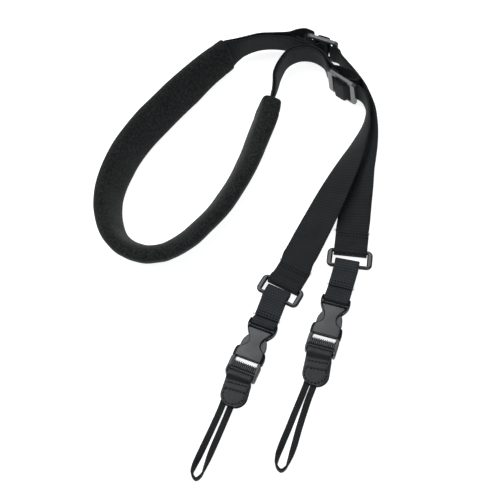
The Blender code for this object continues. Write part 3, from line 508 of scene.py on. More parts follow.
# %% The pad
def sew_pad():
    rows, along = even(pad_line(0.0012), 0.0011)
    rows[:, :3] += CENTRED
    centre, travel, tall = standing(rows)
    side = np.cross(tall, travel)
    sides = 76
    angle = 2 * math.pi * (np.arange(sides) + 0.5) / sides
    left = along[-1] - along
    end = np.minimum(along, left)
    share = along / along[-1]
    # the collar is a little fuller than the groove of its stitching
    groove = np.exp(-(((end - HEM) / 0.0011) ** 2))
    mouth = np.clip(1 - end / 0.0035, 0, 1) ** 2 * np.where(along < left, 0.10, 0.02)
    plump = np.interp(share, *PLUMP)
    narrow = np.interp(share, *NARROW)
    corner = 2 / np.interp(share, *SQUARE)[:, None]
    thick = PAD_THICK / 2 * plump * (1 - 0.06 * groove - mouth)
    wide = PAD_WIDTH / 2 * narrow * (1 - 0.018 * groove + 0.012 * np.clip(1 - along / HEM, 0, 1))

    def ring(shrink):
        flat = np.sign(np.sin(angle)) * np.abs(np.sin(angle)) ** corner
        up = np.sign(np.cos(angle)) * np.abs(np.cos(angle)) ** corner
        return (thick - shrink)[:, None] * flat, (wide - shrink)[:, None] * up

    def laid(out, up):
        return centre[:, None] + side[:, None] * out[..., None] + tall[:, None] * up[..., None]

    # puckers where the inner side is tight, and slow waves everywhere
    bend = np.linalg.norm(np.gradient(travel, axis=0), axis=1) / np.gradient(along)
    tight = np.convolve(np.clip((bend - 14) / 30, 0, 1), np.ones(9) / 9, "same")
    phase = along[:, None] * 2 * math.pi
    pucker = np.sin(phase / 0.0125 + 0.7 * np.sin(phase / 0.031)) * np.cos(angle + phase / 0.05)
    slow = np.sin(phase / 0.083 + angle) * 0.00022 + np.sin(phase / 0.047 - 2 * angle) * 0.00010
    inner_side = np.clip(-np.sin(angle), 0, 1)
    move = -tight[:, None] * inner_side * (pucker * 0.00045 + 0.00045) - np.abs(slow)
    out, up = ring(0.0)
    outer = laid(out + move * np.sin(angle) * 0.9, up + move * np.cos(angle))
    lining = laid(*ring(PAD_WALL))
    # the rolled edge of each mouth: half circles between the cover and the lining
    rolls = []
    for at, way in ((-1, 1.0), (0, -1.0)):
        middle, reach = (outer[at] + lining[at]) / 2, (outer[at] - lining[at]) / 2
        rolls.append([
            middle + reach * math.cos(a) + travel[at] * way * PAD_WALL / 2 * math.sin(a)
            for a in (0.35, 0.8, 1.2, 1.57, 1.95, 2.35, 2.8)
        ])
    rings = closed(np.concatenate((outer, rolls[0], lining[::-1], rolls[1][::-1])))
    lengths, around = run_of(rings[:, 0]), run_of(closed(outer[200]))
    made = skin("neck_pad_cover", rings, lengths, around, pad_cover, capped=False, sharp=70)
    settle(made.data, 1e-7)
    keep_piece(made, "padding", "neck_pad")
    print("pad", round(along[-1] * 1000), "mm long,", len(made.data.polygons), "faces")
    return outer, along


pad_surface, pad_along = sew_pad()

# %% [markdown]
# ## Thread
# Stitches are what makes a sewn piece look sewn. Each stitch is a short thick thread that comes up
# out of the cloth, lies on it and goes down again. One row is one mesh: small capsules with sunk
# ends, set one after another along a line, each turned to the surface that it lies on.

# %% Stitches
def thread_finish(name, code):
    made, tree, shader = start_finish(name, Roughness=0.7, IOR=1.55, Specular_IOR_Level=0.08)
    twist = noise(tree, 2600, 2)
    tone = remap(tree, twist, 0.3, 0.7, 0.7, 1.4)
    dress(tree, shader, linear(code), tone, twist, 0.00008, 0.8)
    return made


black_thread = thread_finish("black_polyester_thread", "#0a0b0c")


def stitch(name, slot, line, size, facing=None):
    """One row of stitches along a line of points, on a surface that faces up if not told."""
    if facing is None:
        facing = np.tile((0.0, 0.0, 1.0), (len(line), 1))
    length, space, radius = size
    run, pitch = run_of(line), length + space
    count = max(1, int((run[-1] - length) // pitch) + 1)
    first = (run[-1] - count * pitch + space) / 2
    threads = []

    def read(values, at):
        return np.array([np.interp(at, run, column) for column in values.T])

    for start in first + pitch * np.arange(count):
        way = unit(read(line, start + length) - read(line, start))
        rings = []
        for share in np.linspace(0, 1, 7):
            away = unit(read(facing, start + length * share))
            bow = math.sin(math.pi * share)
            spot = read(line, start + length * share) + away * radius * (1.5 * bow**0.5 - 0.9)
            wide = radius * (0.45 + 0.55 * bow**0.4)
            rings.append(circle(spot, np.cross(way, away), away, wide, 8))
        threads.append(rings)
    keep_piece(tubes(name, threads, black_thread), slot)
    print(name, count, "stitches")


HEM_STITCH = (0.0026, 0.0008, 0.00022)  # length, space and radius
for word, at in (("upper", HEM), ("lower", pad_along[-1] - HEM)):
    ring = closed(pad_surface[int(np.argmin(np.abs(pad_along - at)))])
    outwards = ring - ring[:-1].mean(axis=0)
    stitch("hem_stitches_" + word, "padding", ring, HEM_STITCH, outwards)

# %% [markdown]
# ## Where the hardware lies
# Every moulded piece has its own small frame: X to its right, Y back up the strap and Z off the
# table. The long webbing has to thread through the adjuster and round the ring exactly, so their
# frames come before it.

# %% Frames of the hardware
WEB_WIDTH = 0.025
WEB_THICK = 0.0013
ADJUSTER_LENGTH = 0.026
ADJUSTER_THICK = 0.0028
ADJUSTER_RAIL = 0.003
ADJUSTER_BAR = 0.0045
ADJUSTER_MIDDLE = 0.005
RING_LENGTH = 0.016
RING_BAR = 0.003
RING_THICK = 0.003
RING_SIDE = 0.0042
RING_CORNER = 0.0042
RING_HEIGHT = LIFT + WEB_THICK + GAP + RING_THICK / 2   # of its middle off the table
SIDE_PLAY = 0.0004
FOLD_PLAY = 0.0008
FOLD_ROUND = 0.0013
BUCKLE_THICK = 0.0076
TAB_WIDTH = 0.0190      # of the leather, which the prong half's bar has to take

# across (of SPREAD), along (of REACH), heading in degrees; the slides' height and lean come too
RING_PLACE = {"right": (0.386, -0.131, 7), "left": (0.149, -0.219, 29)}
BUCKLE_PLACE = {"right": (0.339, -0.238, 17.0), "left": (0.097, -0.303, 22.5)}
ADJUSTER_PLACE = {
    "right": (0.313, 0.471, 0.65, -21.4, 10.0),
    "left": (0.3785, 0.3485, 0.65, -38.0, 10.0),
}


def flat_frame(across, along, heading, height):
    spot = Matrix.Translation(Vector((across * SPREAD, along * REACH, height)) + CENTRED)
    return spot @ Matrix.Rotation(-math.radians(heading), 4, "Z")


def ring_frame(side):
    return flat_frame(*RING_PLACE[side], RING_HEIGHT)


def buckle_frame(side):
    return flat_frame(*BUCKLE_PLACE[side], BUCKLE_THICK / 2)


def adjuster_frame(side):
    """X down the strap, Y up along the bars, Z towards the viewer."""
    across, along, height, heading, lean = ADJUSTER_PLACE[side]
    turn = math.radians(heading)
    run = Vector((math.cos(turn), math.sin(turn), 0))
    tilt = math.radians(lean)
    tall = UP * math.cos(tilt) + run.cross(UP) * math.sin(tilt)
    made = Matrix((run, tall, run.cross(tall))).transposed().to_4x4()
    made.translation = Vector((across * SPREAD, along * REACH, height * WEB_WIDTH)) + CENTRED
    return made


# %% [markdown]
# ## The long webbings
# One webbing makes the whole side. It starts with a sewn end under the ring, goes round the ring's
# bar, rises on edge, runs through the adjuster, enters the pad, turns back there and comes out
# again, and its end is sewn round the adjuster's middle bar. Sliding the adjuster along the doubled
# stretch changes the strap's length. The route is a chain of short runs, one for each of these
# places, read as one smooth curve.

# %% The webbing's rows
TAIL_LENGTH = 0.017
WEB_IN_PAD = 0.024
LAYERS_IN_PAD = 0.0019
# across (of SPREAD), along (of REACH), height (of WEB_WIDTH), lean: 0 on edge, 90 flat
RING_TO_ADJUSTER = {
    "right": (
        (0.399, -0.052, 0.04, 90), (0.405, -0.023, 0.075, 85), (0.413, 0.02, 0.16, 76),
        (0.424, 0.061, 0.27, 63), (0.437, 0.101, 0.37, 48), (0.448, 0.129, 0.43, 41),
        (0.46, 0.158, 0.47, 33), (0.47, 0.19, 0.5, 25), (0.477, 0.222, 0.53, 17),
        (0.48, 0.267, 0.55, 7), (0.475, 0.31, 0.56, -6), (0.462, 0.337, 0.58, -8),
        (0.437, 0.3695, 0.6, -9), (0.4055, 0.4035, 0.62, -10), (0.383, 0.4265, 0.635, -10),
    ),
    "left": (
        (0.212, -0.128, 0.1, 88), (0.224, -0.112, 0.09, 88), (0.252, -0.071, 0.11, 86),
        (0.292, -0.014, 0.17, 79), (0.331, 0.043, 0.26, 69), (0.37, 0.099, 0.34, 58),
        (0.408, 0.154, 0.41, 45), (0.425, 0.182, 0.45, 35), (0.442, 0.211, 0.49, 27),
        (0.453, 0.238, 0.52, 17), (0.461, 0.264, 0.54, 7), (0.464, 0.288, 0.57, -1),
        (0.459, 0.308, 0.61, -7),
    ),
}
# From the pad to the adjuster, the layer on the viewer's side
NEAR_LAYER = {
    "right": (
        (0.0, 0.464, 0.62, -6), (0.03, 0.476, 0.62, 4), (0.084, 0.49, 0.62, 9),
        (0.139, 0.492, 0.62, 11), (0.19, 0.486, 0.63, 11),
    ),
    "left": (
        (0.134, 0.33, 0.62, 6), (0.143, 0.367, 0.62, -3), (0.16, 0.404, 0.62, 0),
        (0.191, 0.44, 0.62, 5), (0.233, 0.454, 0.62, 9), (0.275, 0.45, 0.63, 11),
        (0.313, 0.429, 0.63, 12),
    ),
}
# The other layer's distance from it, of WEB_WIDTH
FAR_LAYER = {
    "right": (0.085, 0.085, 0.085, 0.10, 0.19),
    "left": (0.08, 0.075, 0.075, 0.075, 0.075, 0.08, 0.10),
}

# %% Folds with round corners
def rounded(corners, radius, step=0.0005):
    """Straight runs between 2D corners, each corner turned into an arc."""
    read = [Vector(corners[0])]
    for i in range(1, len(corners) - 1):
        at = Vector(corners[i])
        back = Vector(corners[i - 1]) - at
        ahead = Vector(corners[i + 1]) - at
        half = back.angle(ahead) / 2
        reach = min(radius / math.tan(half), 0.49 * min(back.length, ahead.length))
        start, end = at + back.normalized() * reach, at + ahead.normalized() * reach
        size = reach * math.tan(half)
        middle = (back.normalized() + ahead.normalized()).normalized()
        centre = at + middle * (reach / math.cos(half))
        count = max(2, math.ceil((math.pi - 2 * half) * size / step))
        for k in range(count + 1):
            read.append(centre + (start.lerp(end, k / count) - centre).normalized() * size)
    read.append(Vector(corners[-1]))
    return read


def ring_fold(side):
    """The sewn end and the fold round the ring's upper bar."""
    bar = (RING_LENGTH - RING_BAR) / 2
    half = WEB_THICK / 2
    low = LIFT + half - RING_HEIGHT
    high = RING_THICK / 2 + GAP + half
    doubled = low + WEB_THICK + GAP
    inside = bar - RING_BAR / 2 - FOLD_PLAY - half
    past = bar + RING_BAR / 2 + FOLD_PLAY
    end = bar + TAIL_LENGTH
    over = ((past + 0.0045, doubled), (past, high), (inside, high))
    if side == "right":
        corners = ((end, doubled), *over, (inside, low), (end, low))
    else:
        corners = ((end, low), (inside, low), *over[::-1], (end, doubled))
    place = ring_frame(side)
    turn = place.to_3x3() @ Vector((1, 0, 0))
    return [(place @ Vector((0, y, z)), turn) for y, z in rounded(corners, FOLD_ROUND)]


# %% Threading the adjuster
def weave(side):
    """Both layers in the adjuster, as distances along the strap and out of the frame."""
    half = WEB_THICK / 2
    on_bar = ADJUSTER_THICK / 2 + GAP + half
    layer = WEB_THICK + GAP
    end = ADJUSTER_LENGTH / 2
    slot_end = end - ADJUSTER_BAR
    mid = ADJUSTER_MIDDLE / 2
    round_mid = mid + GAP + half
    leave = 0.0015 if side == "right" else 0.004
    running = [
        (end + leave, on_bar + 0.0004),
        (slot_end - 0.0010, on_bar),
        (slot_end - 0.0043, -on_bar - layer),
        (-slot_end + 0.0043, -on_bar - layer),
        (-slot_end + 0.0010, on_bar),
    ]
    wrap = [
        (round_mid + 0.0003, on_bar),
        (round_mid + 0.0003, -on_bar),
        (-mid - 0.0021, -on_bar),
        (-mid - 0.0033, on_bar + layer * 0.6),
        (-mid - 0.0037, on_bar + layer),
    ]
    if side == "right":
        running += [(-end - 0.0003, on_bar), (-end - 0.0015, 0.0006), (-end - 0.0014, -0.0024)]
        running += [(-end + 0.0040, -0.0036), (-end + 0.0038, -0.0055), (-end - 0.0030, -0.0062)]
        running += [(-end - 0.0066, -0.0050), (-end - 0.0104, -0.0026)]
        sewn = [
            (-end - 0.0075, on_bar + 2 * layer - 0.0002),
            (-end + 0.0010, on_bar + 2 * layer),
            (-mid - 0.0030, on_bar + 2 * layer),
            (-mid + 0.0003, on_bar),
            *wrap,
            (-end - 0.0006, on_bar + layer),
            (-end - 0.0040, on_bar + layer * 0.8),
            (-end - 0.0078, on_bar + layer * 0.4),
        ]
        return running, sewn
    running += [(-end - 0.0002, on_bar + 0.0001), (-end - 0.0055, 0.0052)]
    sewn = [
        (-end - 0.0055, 0.0052 + layer * 2.0),
        (-end + 0.0005, on_bar + layer * 2.8),
        (-mid - 0.0040, on_bar + layer * 4.4),
        (mid - 0.0010, on_bar + layer * 5.6),
        (slot_end + 0.0010, on_bar + layer * 5.2),
        (slot_end + 0.0012, on_bar + layer * 2.0),
        (round_mid + 0.0008, on_bar + layer * 0.9),
        *wrap,
        (-end + 0.0015, on_bar + layer),
        (-end - 0.0004, on_bar + layer * 1.08),
    ]
    return [(t, -n) for t, n in running], [(t, -n) for t, n in sewn]


# %% One webbing from its rows
def in_metres(rows):
    read = np.array([(a * SPREAD, b * REACH, h * WEB_WIDTH, lean) for a, b, h, lean in rows])
    read[:, :3] += CENTRED
    return read


def pairs(centres, directions):
    return [(Vector(p), Vector(w)) for p, w in zip(centres, directions)]


def mouth_layers(side):
    """The two layers inside the pad, from its mouth inwards."""
    rows = pad_line(0.0115)
    rows[:, :3] += CENTRED
    centre, travel, tall = standing(rows)
    if side == "left":
        centre, travel, tall = centre[::-1], -travel[::-1], tall[::-1]
    keep = run_of(centre) <= WEB_IN_PAD
    centre, tall = centre[keep], tall[keep]
    out = unit(np.cross(travel[keep], tall)) * LAYERS_IN_PAD / 2
    return pairs(centre - out, tall), pairs(centre + out, tall)


def webbing_line(side):
    place = adjuster_frame(side)
    bars = place.to_3x3() @ Vector((0, 1, 0))
    running, sewn = (
        [(place @ Vector((t, 0, n)), bars) for t, n in rounded(path, FOLD_ROUND)]
        for path in weave(side)
    )
    rise, _, rise_tall = standing(in_metres(RING_TO_ADJUSTER[side]))
    centre, travel, tall = standing(in_metres(NEAR_LAYER[side]))
    away = np.array(FAR_LAYER[side])[:, None] * WEB_WIDTH
    near = pairs(centre, tall)
    far = pairs(centre - np.cross(travel, tall) * away, tall)
    near_in, far_in = mouth_layers(side)
    near, far = near_in[::-1] + near, far_in[::-1] + far
    inwards, outwards = (far, near) if side == "right" else (near, far)
    middle = (inwards[0][0] + outwards[0][0]) / 2
    way = (inwards[0][0] - inwards[1][0]).normalized()
    turned = [(middle + way * LAYERS_IN_PAD / 2, inwards[0][1])]
    rows = []
    rising = pairs(rise, rise_tall)
    for run in (ring_fold(side), rising, running, inwards[::-1], turned, outwards, sewn):
        for spot, across in run:
            row = (*spot, *across.normalized())
            if not rows or math.dist(row[:3], rows[-1][:3]) > 0.0004:
                rows.append(row)
    return through(rows, 0.0006)


for side in SIDES:
    line = webbing_line(side)
    name = "long_webbing_" + side
    made = band(name, line, WEB_WIDTH, WEB_THICK, nylon_webbing, rib=RIB, ripple=0.00007)
    keep_piece(made, "webbing", "webbing_" + side)
    print(name, round(run_of(line[:, :3])[-1] * 1000), "mm,", len(made.data.polygons), "faces")

# %% [markdown]
# ## The short webbing loops
# The loop between the ring and the buckle is a length of narrower webbing, passed through both and
# sewn to itself. Its end lies on top, pressed flat by the seam, so that three layers lie on each
# other there. The folds round the two bars are half circles with a little slack.

# %% Folds round a bar
LINK_WIDTH = 0.0185
LINK_THICK = 0.0013
LINK_SEAM = 0.017
LINK_LAP = 0.007
LINK_SHIFT = {"right": -0.10, "left": -0.04}
LINK_TURN = {"right": 5.0, "left": -2.0}        # of its fold on the ring's bar, degrees
LINK_SLACK = {"right": 0.0027, "left": 0.0054}  # of its fold past that bar
BUCKLE_BAR = 0.003
BUCKLE_BAR_THICK = 0.0028
BAR_PLAY = 0.0010


def fold_round(bar_y, bar_half, bar_thick, thick, play, away, place):
    """A fold round a bar, from its top to its underside, bulging up (1) or down (-1) the strap."""
    across = place.to_3x3() @ Vector((1, 0, 0))
    high = bar_thick / 2 + GAP + thick / 2
    reach = bar_half + play + thick / 2
    back = bar_y - away * (bar_half + GAP)
    arc = np.linspace(math.pi / 2, -math.pi / 2, 13)
    bulge = [(bar_y + away * (reach - high + high * math.cos(a)), high * math.sin(a)) for a in arc]
    path = [(back, high), *bulge, (back, -high)]
    return [(place @ Vector((0, y, z)), across) for y, z in path]


# %% The loops
def link_line(side):
    ring, buckle = ring_frame(side), buckle_frame(side)
    bar = Matrix.Translation((LINK_SHIFT[side] * LINK_WIDTH, -(RING_LENGTH - RING_BAR) / 2, 0))
    turned = ring @ bar @ Matrix.Rotation(-math.radians(LINK_TURN[side]), 4, "Z")
    at_ring = fold_round(0, RING_BAR / 2, RING_THICK, LINK_THICK, LINK_SLACK[side], 1, turned)
    at_buckle = fold_round(
        -BUCKLE_BAR / 2, BUCKLE_BAR / 2, BUCKLE_BAR_THICK, LINK_THICK, BAR_PLAY, -1, buckle
    )
    start, end = at_ring[0], at_buckle[0]
    length = math.dist(start[0][:2], end[0][:2])
    low = LIFT + LINK_THICK / 2
    pressed = low + LINK_THICK + GAP
    lapped = pressed + LINK_THICK + GAP

    def at(run, height):
        share = run / length
        spot = start[0].lerp(end[0], share)
        return (Vector((spot.x, spot.y, height)), start[1].lerp(end[1], share))

    lap = LINK_SEAM - LINK_LAP
    stations = [
        at(lap, pressed),
        at(LINK_SEAM, pressed),
        at((LINK_SEAM + length) / 2, pressed + 0.0012),
        *at_buckle,
        at((LINK_SEAM + length) / 2, low),
        at(LINK_SEAM, low),
        at(lap, low),
        at(0.004, low),
        *at_ring[::-1],
        at(0.004, max(start[0].z * 0.80, lapped + 0.0001)),
        at(lap, lapped + 0.0001),
        at(LINK_SEAM, lapped),
    ]
    return through([(*p, *w.normalized()) for p, w in stations], 0.0006), at, lapped


link_seam = {}
for side in SIDES:
    line, at, lapped = link_line(side)
    name = "short_loop_" + side
    made = band(
        name, line, LINK_WIDTH, LINK_THICK, fine_webbing, inner=7, rib=FINE_RIB, ripple=0.00010
    )
    keep_piece(made, "webbing", "link_" + side)
    link_seam[side] = (at, lapped)
    print(name, len(made.data.polygons), "faces")

# %% [markdown]
# ## Seams and loose fibres
# Two rows of stitches hold each sewn end. The webbing is cut across there, and although a hot knife
# melts the cut, a few fibres always come loose at its corners. They are thin hooked threads of
# uneven length, drawn a little thicker than real nylon filaments.

# %% Seams
SEAM_STITCH = (0.0016, 0.0007, 0.0003)  # length, space and radius
# two distances from the cut end, and the reach to each side
SEAMS = {"tail": (0.0016, 0.0040, 0.0112), "loop": (0.0016, 0.0038, 0.0080)}
FIBRES = 10             # at each corner
FIBRE = 0.00009         # radius of one


def fray(name, corners):
    """Loose fibres from each row of spot and direction."""
    chance = np.random.default_rng(11)
    fibres = []
    for spot, way in corners:
        for _ in range(FIBRES):
            start = np.array(spot) + chance.normal(0, 0.0004, 3)
            aim = np.array(way) + chance.normal(0, 0.5, 3)
            bend = chance.normal(0, 0.6, 3)
            size = chance.uniform(0.0012, 0.0034)
            rings = []
            for share in np.linspace(0, 1, 6):
                centre = start + aim * size * share + bend * size * share**2
                centre[2] = max(centre[2], 0.0003)
                wide = FIBRE * (1 - 0.5 * share)
                rings.append(circle(centre + (0, 0.3 * wide, 0), (1, 0, 0), (0, 0, 1), wide, 3))
            fibres.append(rings)
    keep_piece(tubes(name, fibres, nylon_webbing), "webbing")


def sew_ends(side):
    """The seams of the long webbing's tail and of the short loop, and their fibres."""
    place, (at, lapped) = ring_frame(side), link_seam[side]
    turn = place.to_3x3()
    end = (RING_LENGTH - RING_BAR) / 2 + TAIL_LENGTH
    high = LIFT + WEB_THICK * 1.5 + GAP - RING_HEIGHT

    def on_tail(back):
        spot = place @ Vector((0, end - back, high + WEB_THICK / 2))
        return spot, turn @ Vector((1, 0, 0))

    def on_loop(back):
        return at(LINK_SEAM - back, lapped + LINK_THICK / 2)

    for word, seam_at in (("tail", on_tail), ("loop", on_loop)):
        *backs, reach = SEAMS[word]
        for number, back in enumerate(backs):
            middle, across = seam_at(back)
            line = np.array([middle - across * reach, middle + across * reach])
            stitch(f"{word}_seam_{number}_{side}", "webbing", line, SEAM_STITCH)
    middle, across = at(LINK_SEAM, lapped)
    half = WEB_WIDTH / 2
    tail = [(place @ Vector((s * half, end, high)), turn @ Vector((s, 0.5, 0.1))) for s in (-1, 1)]
    loop = [(middle + across * s * LINK_WIDTH / 2, across * s) for s in (-1, 1)]
    fray("loose_fibres_" + side, tail + loop)


for side in SIDES:
    sew_ends(side)

# %% [markdown]
# ## Moulded plastic
# Buckles, slides and rings are moulded from acetal, a hard, slippery plastic. Where the mould was
# etched, the plastic is satin: the highlights are broad and soft. Where the mould was polished, the
# plastic is glossy. Both have a faint unevenness from shrinking and from handling, so the roughness
# changes slowly over the surface, and a very fine grain breaks up the highlights. The slides and
# the grip ridges get a lighter grey, a painted highlight for the reflection of the lights on them.
# Walls, grooves and the sloped rim get painted shade, a darker colour and reflection, and this lets
# the eye read the steps of a black buckle.

# %% Three plastics
def moulded(name, code, smooth, rough, grain):
    made, tree, shader = start_finish(name, IOR=1.48)
    slow = noise(tree, 120, 4)
    tree.links.new(remap(tree, slow, 0.3, 0.7, smooth, rough), shader.inputs["Roughness"])
    # painted shade is stored on the buckles: 1 on walls, in grooves and on the sloped rim, where it
    # darkens the colour and the reflection
    painted_shade = node(tree, "Attribute", attribute_name="painted_shade").outputs["Fac"]
    tree.links.new(remap(tree, painted_shade, 0.0, 1.0, 0.5, 0.06), shader.inputs["Specular IOR Level"])
    value = calc(tree, "MULTIPLY_ADD", painted_shade, -0.6, remap(tree, slow, 0.3, 0.7, 0.93, 1.07))
    dress(tree, shader, linear(code), value, noise(tree, 3000, 2), grain, 0.5)
    return made


satin_acetal = moulded("satin_moulded_acetal", "#1b1d20", 0.28, 0.42, 0.00006)
polished_acetal = moulded("polished_moulded_acetal", "#141618", 0.16, 0.26, 0.00001)
# a lighter grey for the slides and the ridge tops: a painted highlight for the reflection of the
# lights on them
highlight_grey_acetal = moulded("grey_acetal_painted_highlight", "#404346", 0.16, 0.26, 0.00001)
print("plastics:", satin_acetal.name, polished_acetal.name, highlight_grey_acetal.name)

# %% [markdown]
# ## Plates with round edges
# A slide or ring is a flat frame with holes. It is drawn as an outline with holes in it, given its
# thickness, and its edges are rolled over in small steps. A 2D curve does all three at once.

# %% The plate
def baked(thing):
    """The mesh that an object comes to with all its settings. The object goes."""
    graph = bpy.context.evaluated_depsgraph_get()
    mesh = bpy.data.meshes.new_from_object(thing.evaluated_get(graph))
    bpy.data.objects.remove(thing, do_unlink=True)
    return mesh


def drawn_plate(name, outline, holes, thickness, edge, soft=4):
    curve = bpy.data.curves.new(name, "CURVE")
    curve.dimensions = "2D"
    curve.fill_mode = "BOTH"
    curve.extrude = thickness / 2 - edge
    curve.bevel_depth = edge
    curve.offset = -edge
    curve.bevel_resolution = soft
    for points in (outline, *(hole[::-1] for hole in holes)):
        line = curve.splines.new("POLY")
        line.points.add(len(points) - 1)
        for spot, point in zip(line.points, points):
            spot.co = (point[0], point[1], 0, 1)
        line.use_cyclic_u = True
    mesh = baked(add_object(name + "_outline", curve))
    settle(mesh, 1e-6)
    mesh.name = name
    return mesh


def round_box(width, length, radius, centre=(0.0, 0.0), steps=8):
    points = []
    for turn, (sx, sy) in enumerate(((1, 1), (-1, 1), (-1, -1), (1, -1))):
        cx = centre[0] + sx * (width / 2 - radius)
        cy = centre[1] + sy * (length / 2 - radius)
        for k in range(steps + 1):
            angle = math.pi / 2 * (turn + k / steps)
            points.append((cx + radius * math.cos(angle), cy + radius * math.sin(angle)))
    return points


def place_mesh(name, mesh, place, finish, sharp=40):
    mesh.transform(place)
    return add_piece(name, mesh, finish, sharp)

# %% [markdown]
# ## The slides and the rings
# The adjuster is a polished frame with three bars. The ring is a plain rectangle with thicker, more
# rounded bars, so that the webbing can pull on it without a sharp edge.

# %% Slides and rings
for side in SIDES:
    inner = WEB_WIDTH + 2 * SIDE_PLAY
    slot = (ADJUSTER_LENGTH - 2 * ADJUSTER_BAR - ADJUSTER_MIDDLE) / 2
    shift = (ADJUSTER_MIDDLE + slot) / 2
    holes = [round_box(slot, inner, 0.0002, (s * shift, 0), 2) for s in (-1, 1)]
    outline = round_box(ADJUSTER_LENGTH, inner + 2 * ADJUSTER_RAIL, ADJUSTER_RAIL)
    mesh = drawn_plate("slide", outline, holes, ADJUSTER_THICK, edge=0.0004)
    # the slide's lighter grey is a painted highlight
    made = place_mesh("slide_" + side, mesh, adjuster_frame(side), highlight_grey_acetal)
    keep_piece(made, "glossy_plastic", "adjuster_" + side)
    hole = round_box(inner, RING_LENGTH - 2 * RING_BAR, 0.0002, steps=2)
    outline = round_box(inner + 2 * RING_SIDE, RING_LENGTH, RING_CORNER)
    mesh = drawn_plate("loop", outline, [hole], RING_THICK, edge=0.00145, soft=7)
    made = place_mesh("square_ring_" + side, mesh, ring_frame(side), polished_acetal)
    keep_piece(made, "glossy_plastic", "ring_" + side)
    print(side, "slide and ring, webbing hole", round(inner * 1000, 1), "mm")

# %% [markdown]
# ## The side-release buckles
# The socket is an hourglass housing: its waist leaves room for two fingers, which press the arms of
# the other half through the side windows. It is cut from a plate: a slot and a thin bar for the
# webbing, and a hollow that opens at the lower end and at the windows. The cuts leave hard edges,
# and a moulded piece has none, so the result is rebuilt from small even faces and smoothed.

# %% Outlines of the buckle
BUCKLE_WIDTH = 0.0232
SOCKET_LENGTH = 0.0335
SOCKET_WALL = 0.0016
PRONG_LENGTH = 0.0148
BUCKLE_RAIL = 0.0016
BUCKLE_FIT = 0.0003
BUCKLE_OPENING = 0.0172 # width of the see-through slot between the halves
NOTCH_LENGTH = 0.0014   # of the socket's lower wall, cut back there
PRONG_OPENING = 0.0034  # length of that slot
PRONG_STEP = 0.0006     # of the prong half's face below the socket's
SOCKET_SLOT = 0.0036    # for the short loop
HOLLOW_FROM = 0.36      # of SOCKET_LENGTH
RIDGED_BAR = 0.0055
RIDGE_COUNT = 13
# distance from the webbing end (of SOCKET_LENGTH), half width (of BUCKLE_WIDTH)
SOCKET_OUTLINE = (
    (0.0, 0.4), (0.03, 0.455), (0.18, 0.47), (0.28, 0.42), (0.4, 0.3), (0.47, 0.24), (0.56, 0.205),
    (0.64, 0.235), (0.7, 0.31), (0.735, 0.4), (0.77, 0.47), (0.85, 0.5), (1.0, 0.497),
)
# distance from the webbing end, and the width of the sloped rim there in metres
SOCKET_RIM = ((0, 0.25, 0.36, 0.62, 0.74, 1), (0.0014, 0.0014, 0.0007, 0.0007, 0.0021, 0.0023))
ARM_OUTER = (
    (1.05, 0.417), (0.86, 0.417), (0.76, 0.415), (0.7, 0.412), (0.6, 0.405), (0.5, 0.365),
    (0.43, 0.31), (0.4, 0.275),
)
ARM_INNER = (
    (0.41, 0.2), (0.5, 0.17), (0.6, 0.17), (0.68, 0.2), (0.76, 0.33), (0.86, 0.36), (1.05, 0.374),
)


def smooth_outline(rows, step=0.0006):
    points = through([(h * BUCKLE_WIDTH, -d * SOCKET_LENGTH, 0.0) for d, h in rows], step)
    return [(float(x), float(y)) for x, y, _ in points]


# %% Cutting and smoothing
def joined(name, meshes):
    """Several meshes as one."""
    work = bmesh.new()
    for mesh in meshes:
        work.from_mesh(mesh)
    whole = bpy.data.meshes.new(name)
    work.to_mesh(whole)
    work.free()
    return whole


def box_mesh(name, size, centre):
    work = bmesh.new()
    bmesh.ops.create_cube(work, size=1.0)
    mesh = bpy.data.meshes.new(name)
    work.to_mesh(mesh)
    work.free()
    mesh.transform(Matrix.LocRotScale(centre, None, size))
    return mesh


def shaped(name, mesh, cuts=(), voxel=None):
    """The mesh with the cuts taken out, or rebuilt from even faces of voxel metres, smoothed."""
    work = add_object(name + "_work", mesh)
    others = [add_object(name + "_cut", cut) for cut in cuts]
    for other in others:
        step = work.modifiers.new("cut", "BOOLEAN")
        step.operation, step.object, step.solver = "DIFFERENCE", other, "EXACT"
    if voxel:
        fine = work.modifiers.new("fine", "REMESH")
        fine.mode, fine.voxel_size, fine.use_smooth_shade = "VOXEL", voxel, True
        smooth = work.modifiers.new("smooth", "SMOOTH")
        smooth.factor, smooth.iterations = 0.5, 3
    made = baked(work)
    for gone in others:
        bpy.data.objects.remove(gone, do_unlink=True)
    return made


def read_vectors(items, word):
    values = np.zeros(len(items) * 3)
    items.foreach_get(word, values)
    return values.reshape(-1, 3)


# stores painted shade per point, which darkens the plastic's colour and reflection
def paint_shade(mesh, painted_shade):
    mesh.attributes.new("painted_shade", "FLOAT", "POINT").data.foreach_set("value", painted_shade)


def walls(mesh):
    """Painted shade: 1 on walls and the underside, 0 on faces that look up or down the strap."""
    facing = read_vectors(mesh.vertex_normals, "vector")
    return np.clip((0.72 - facing[:, 2]) / 0.35, 0, 1) * (facing[:, 1] > -0.6)


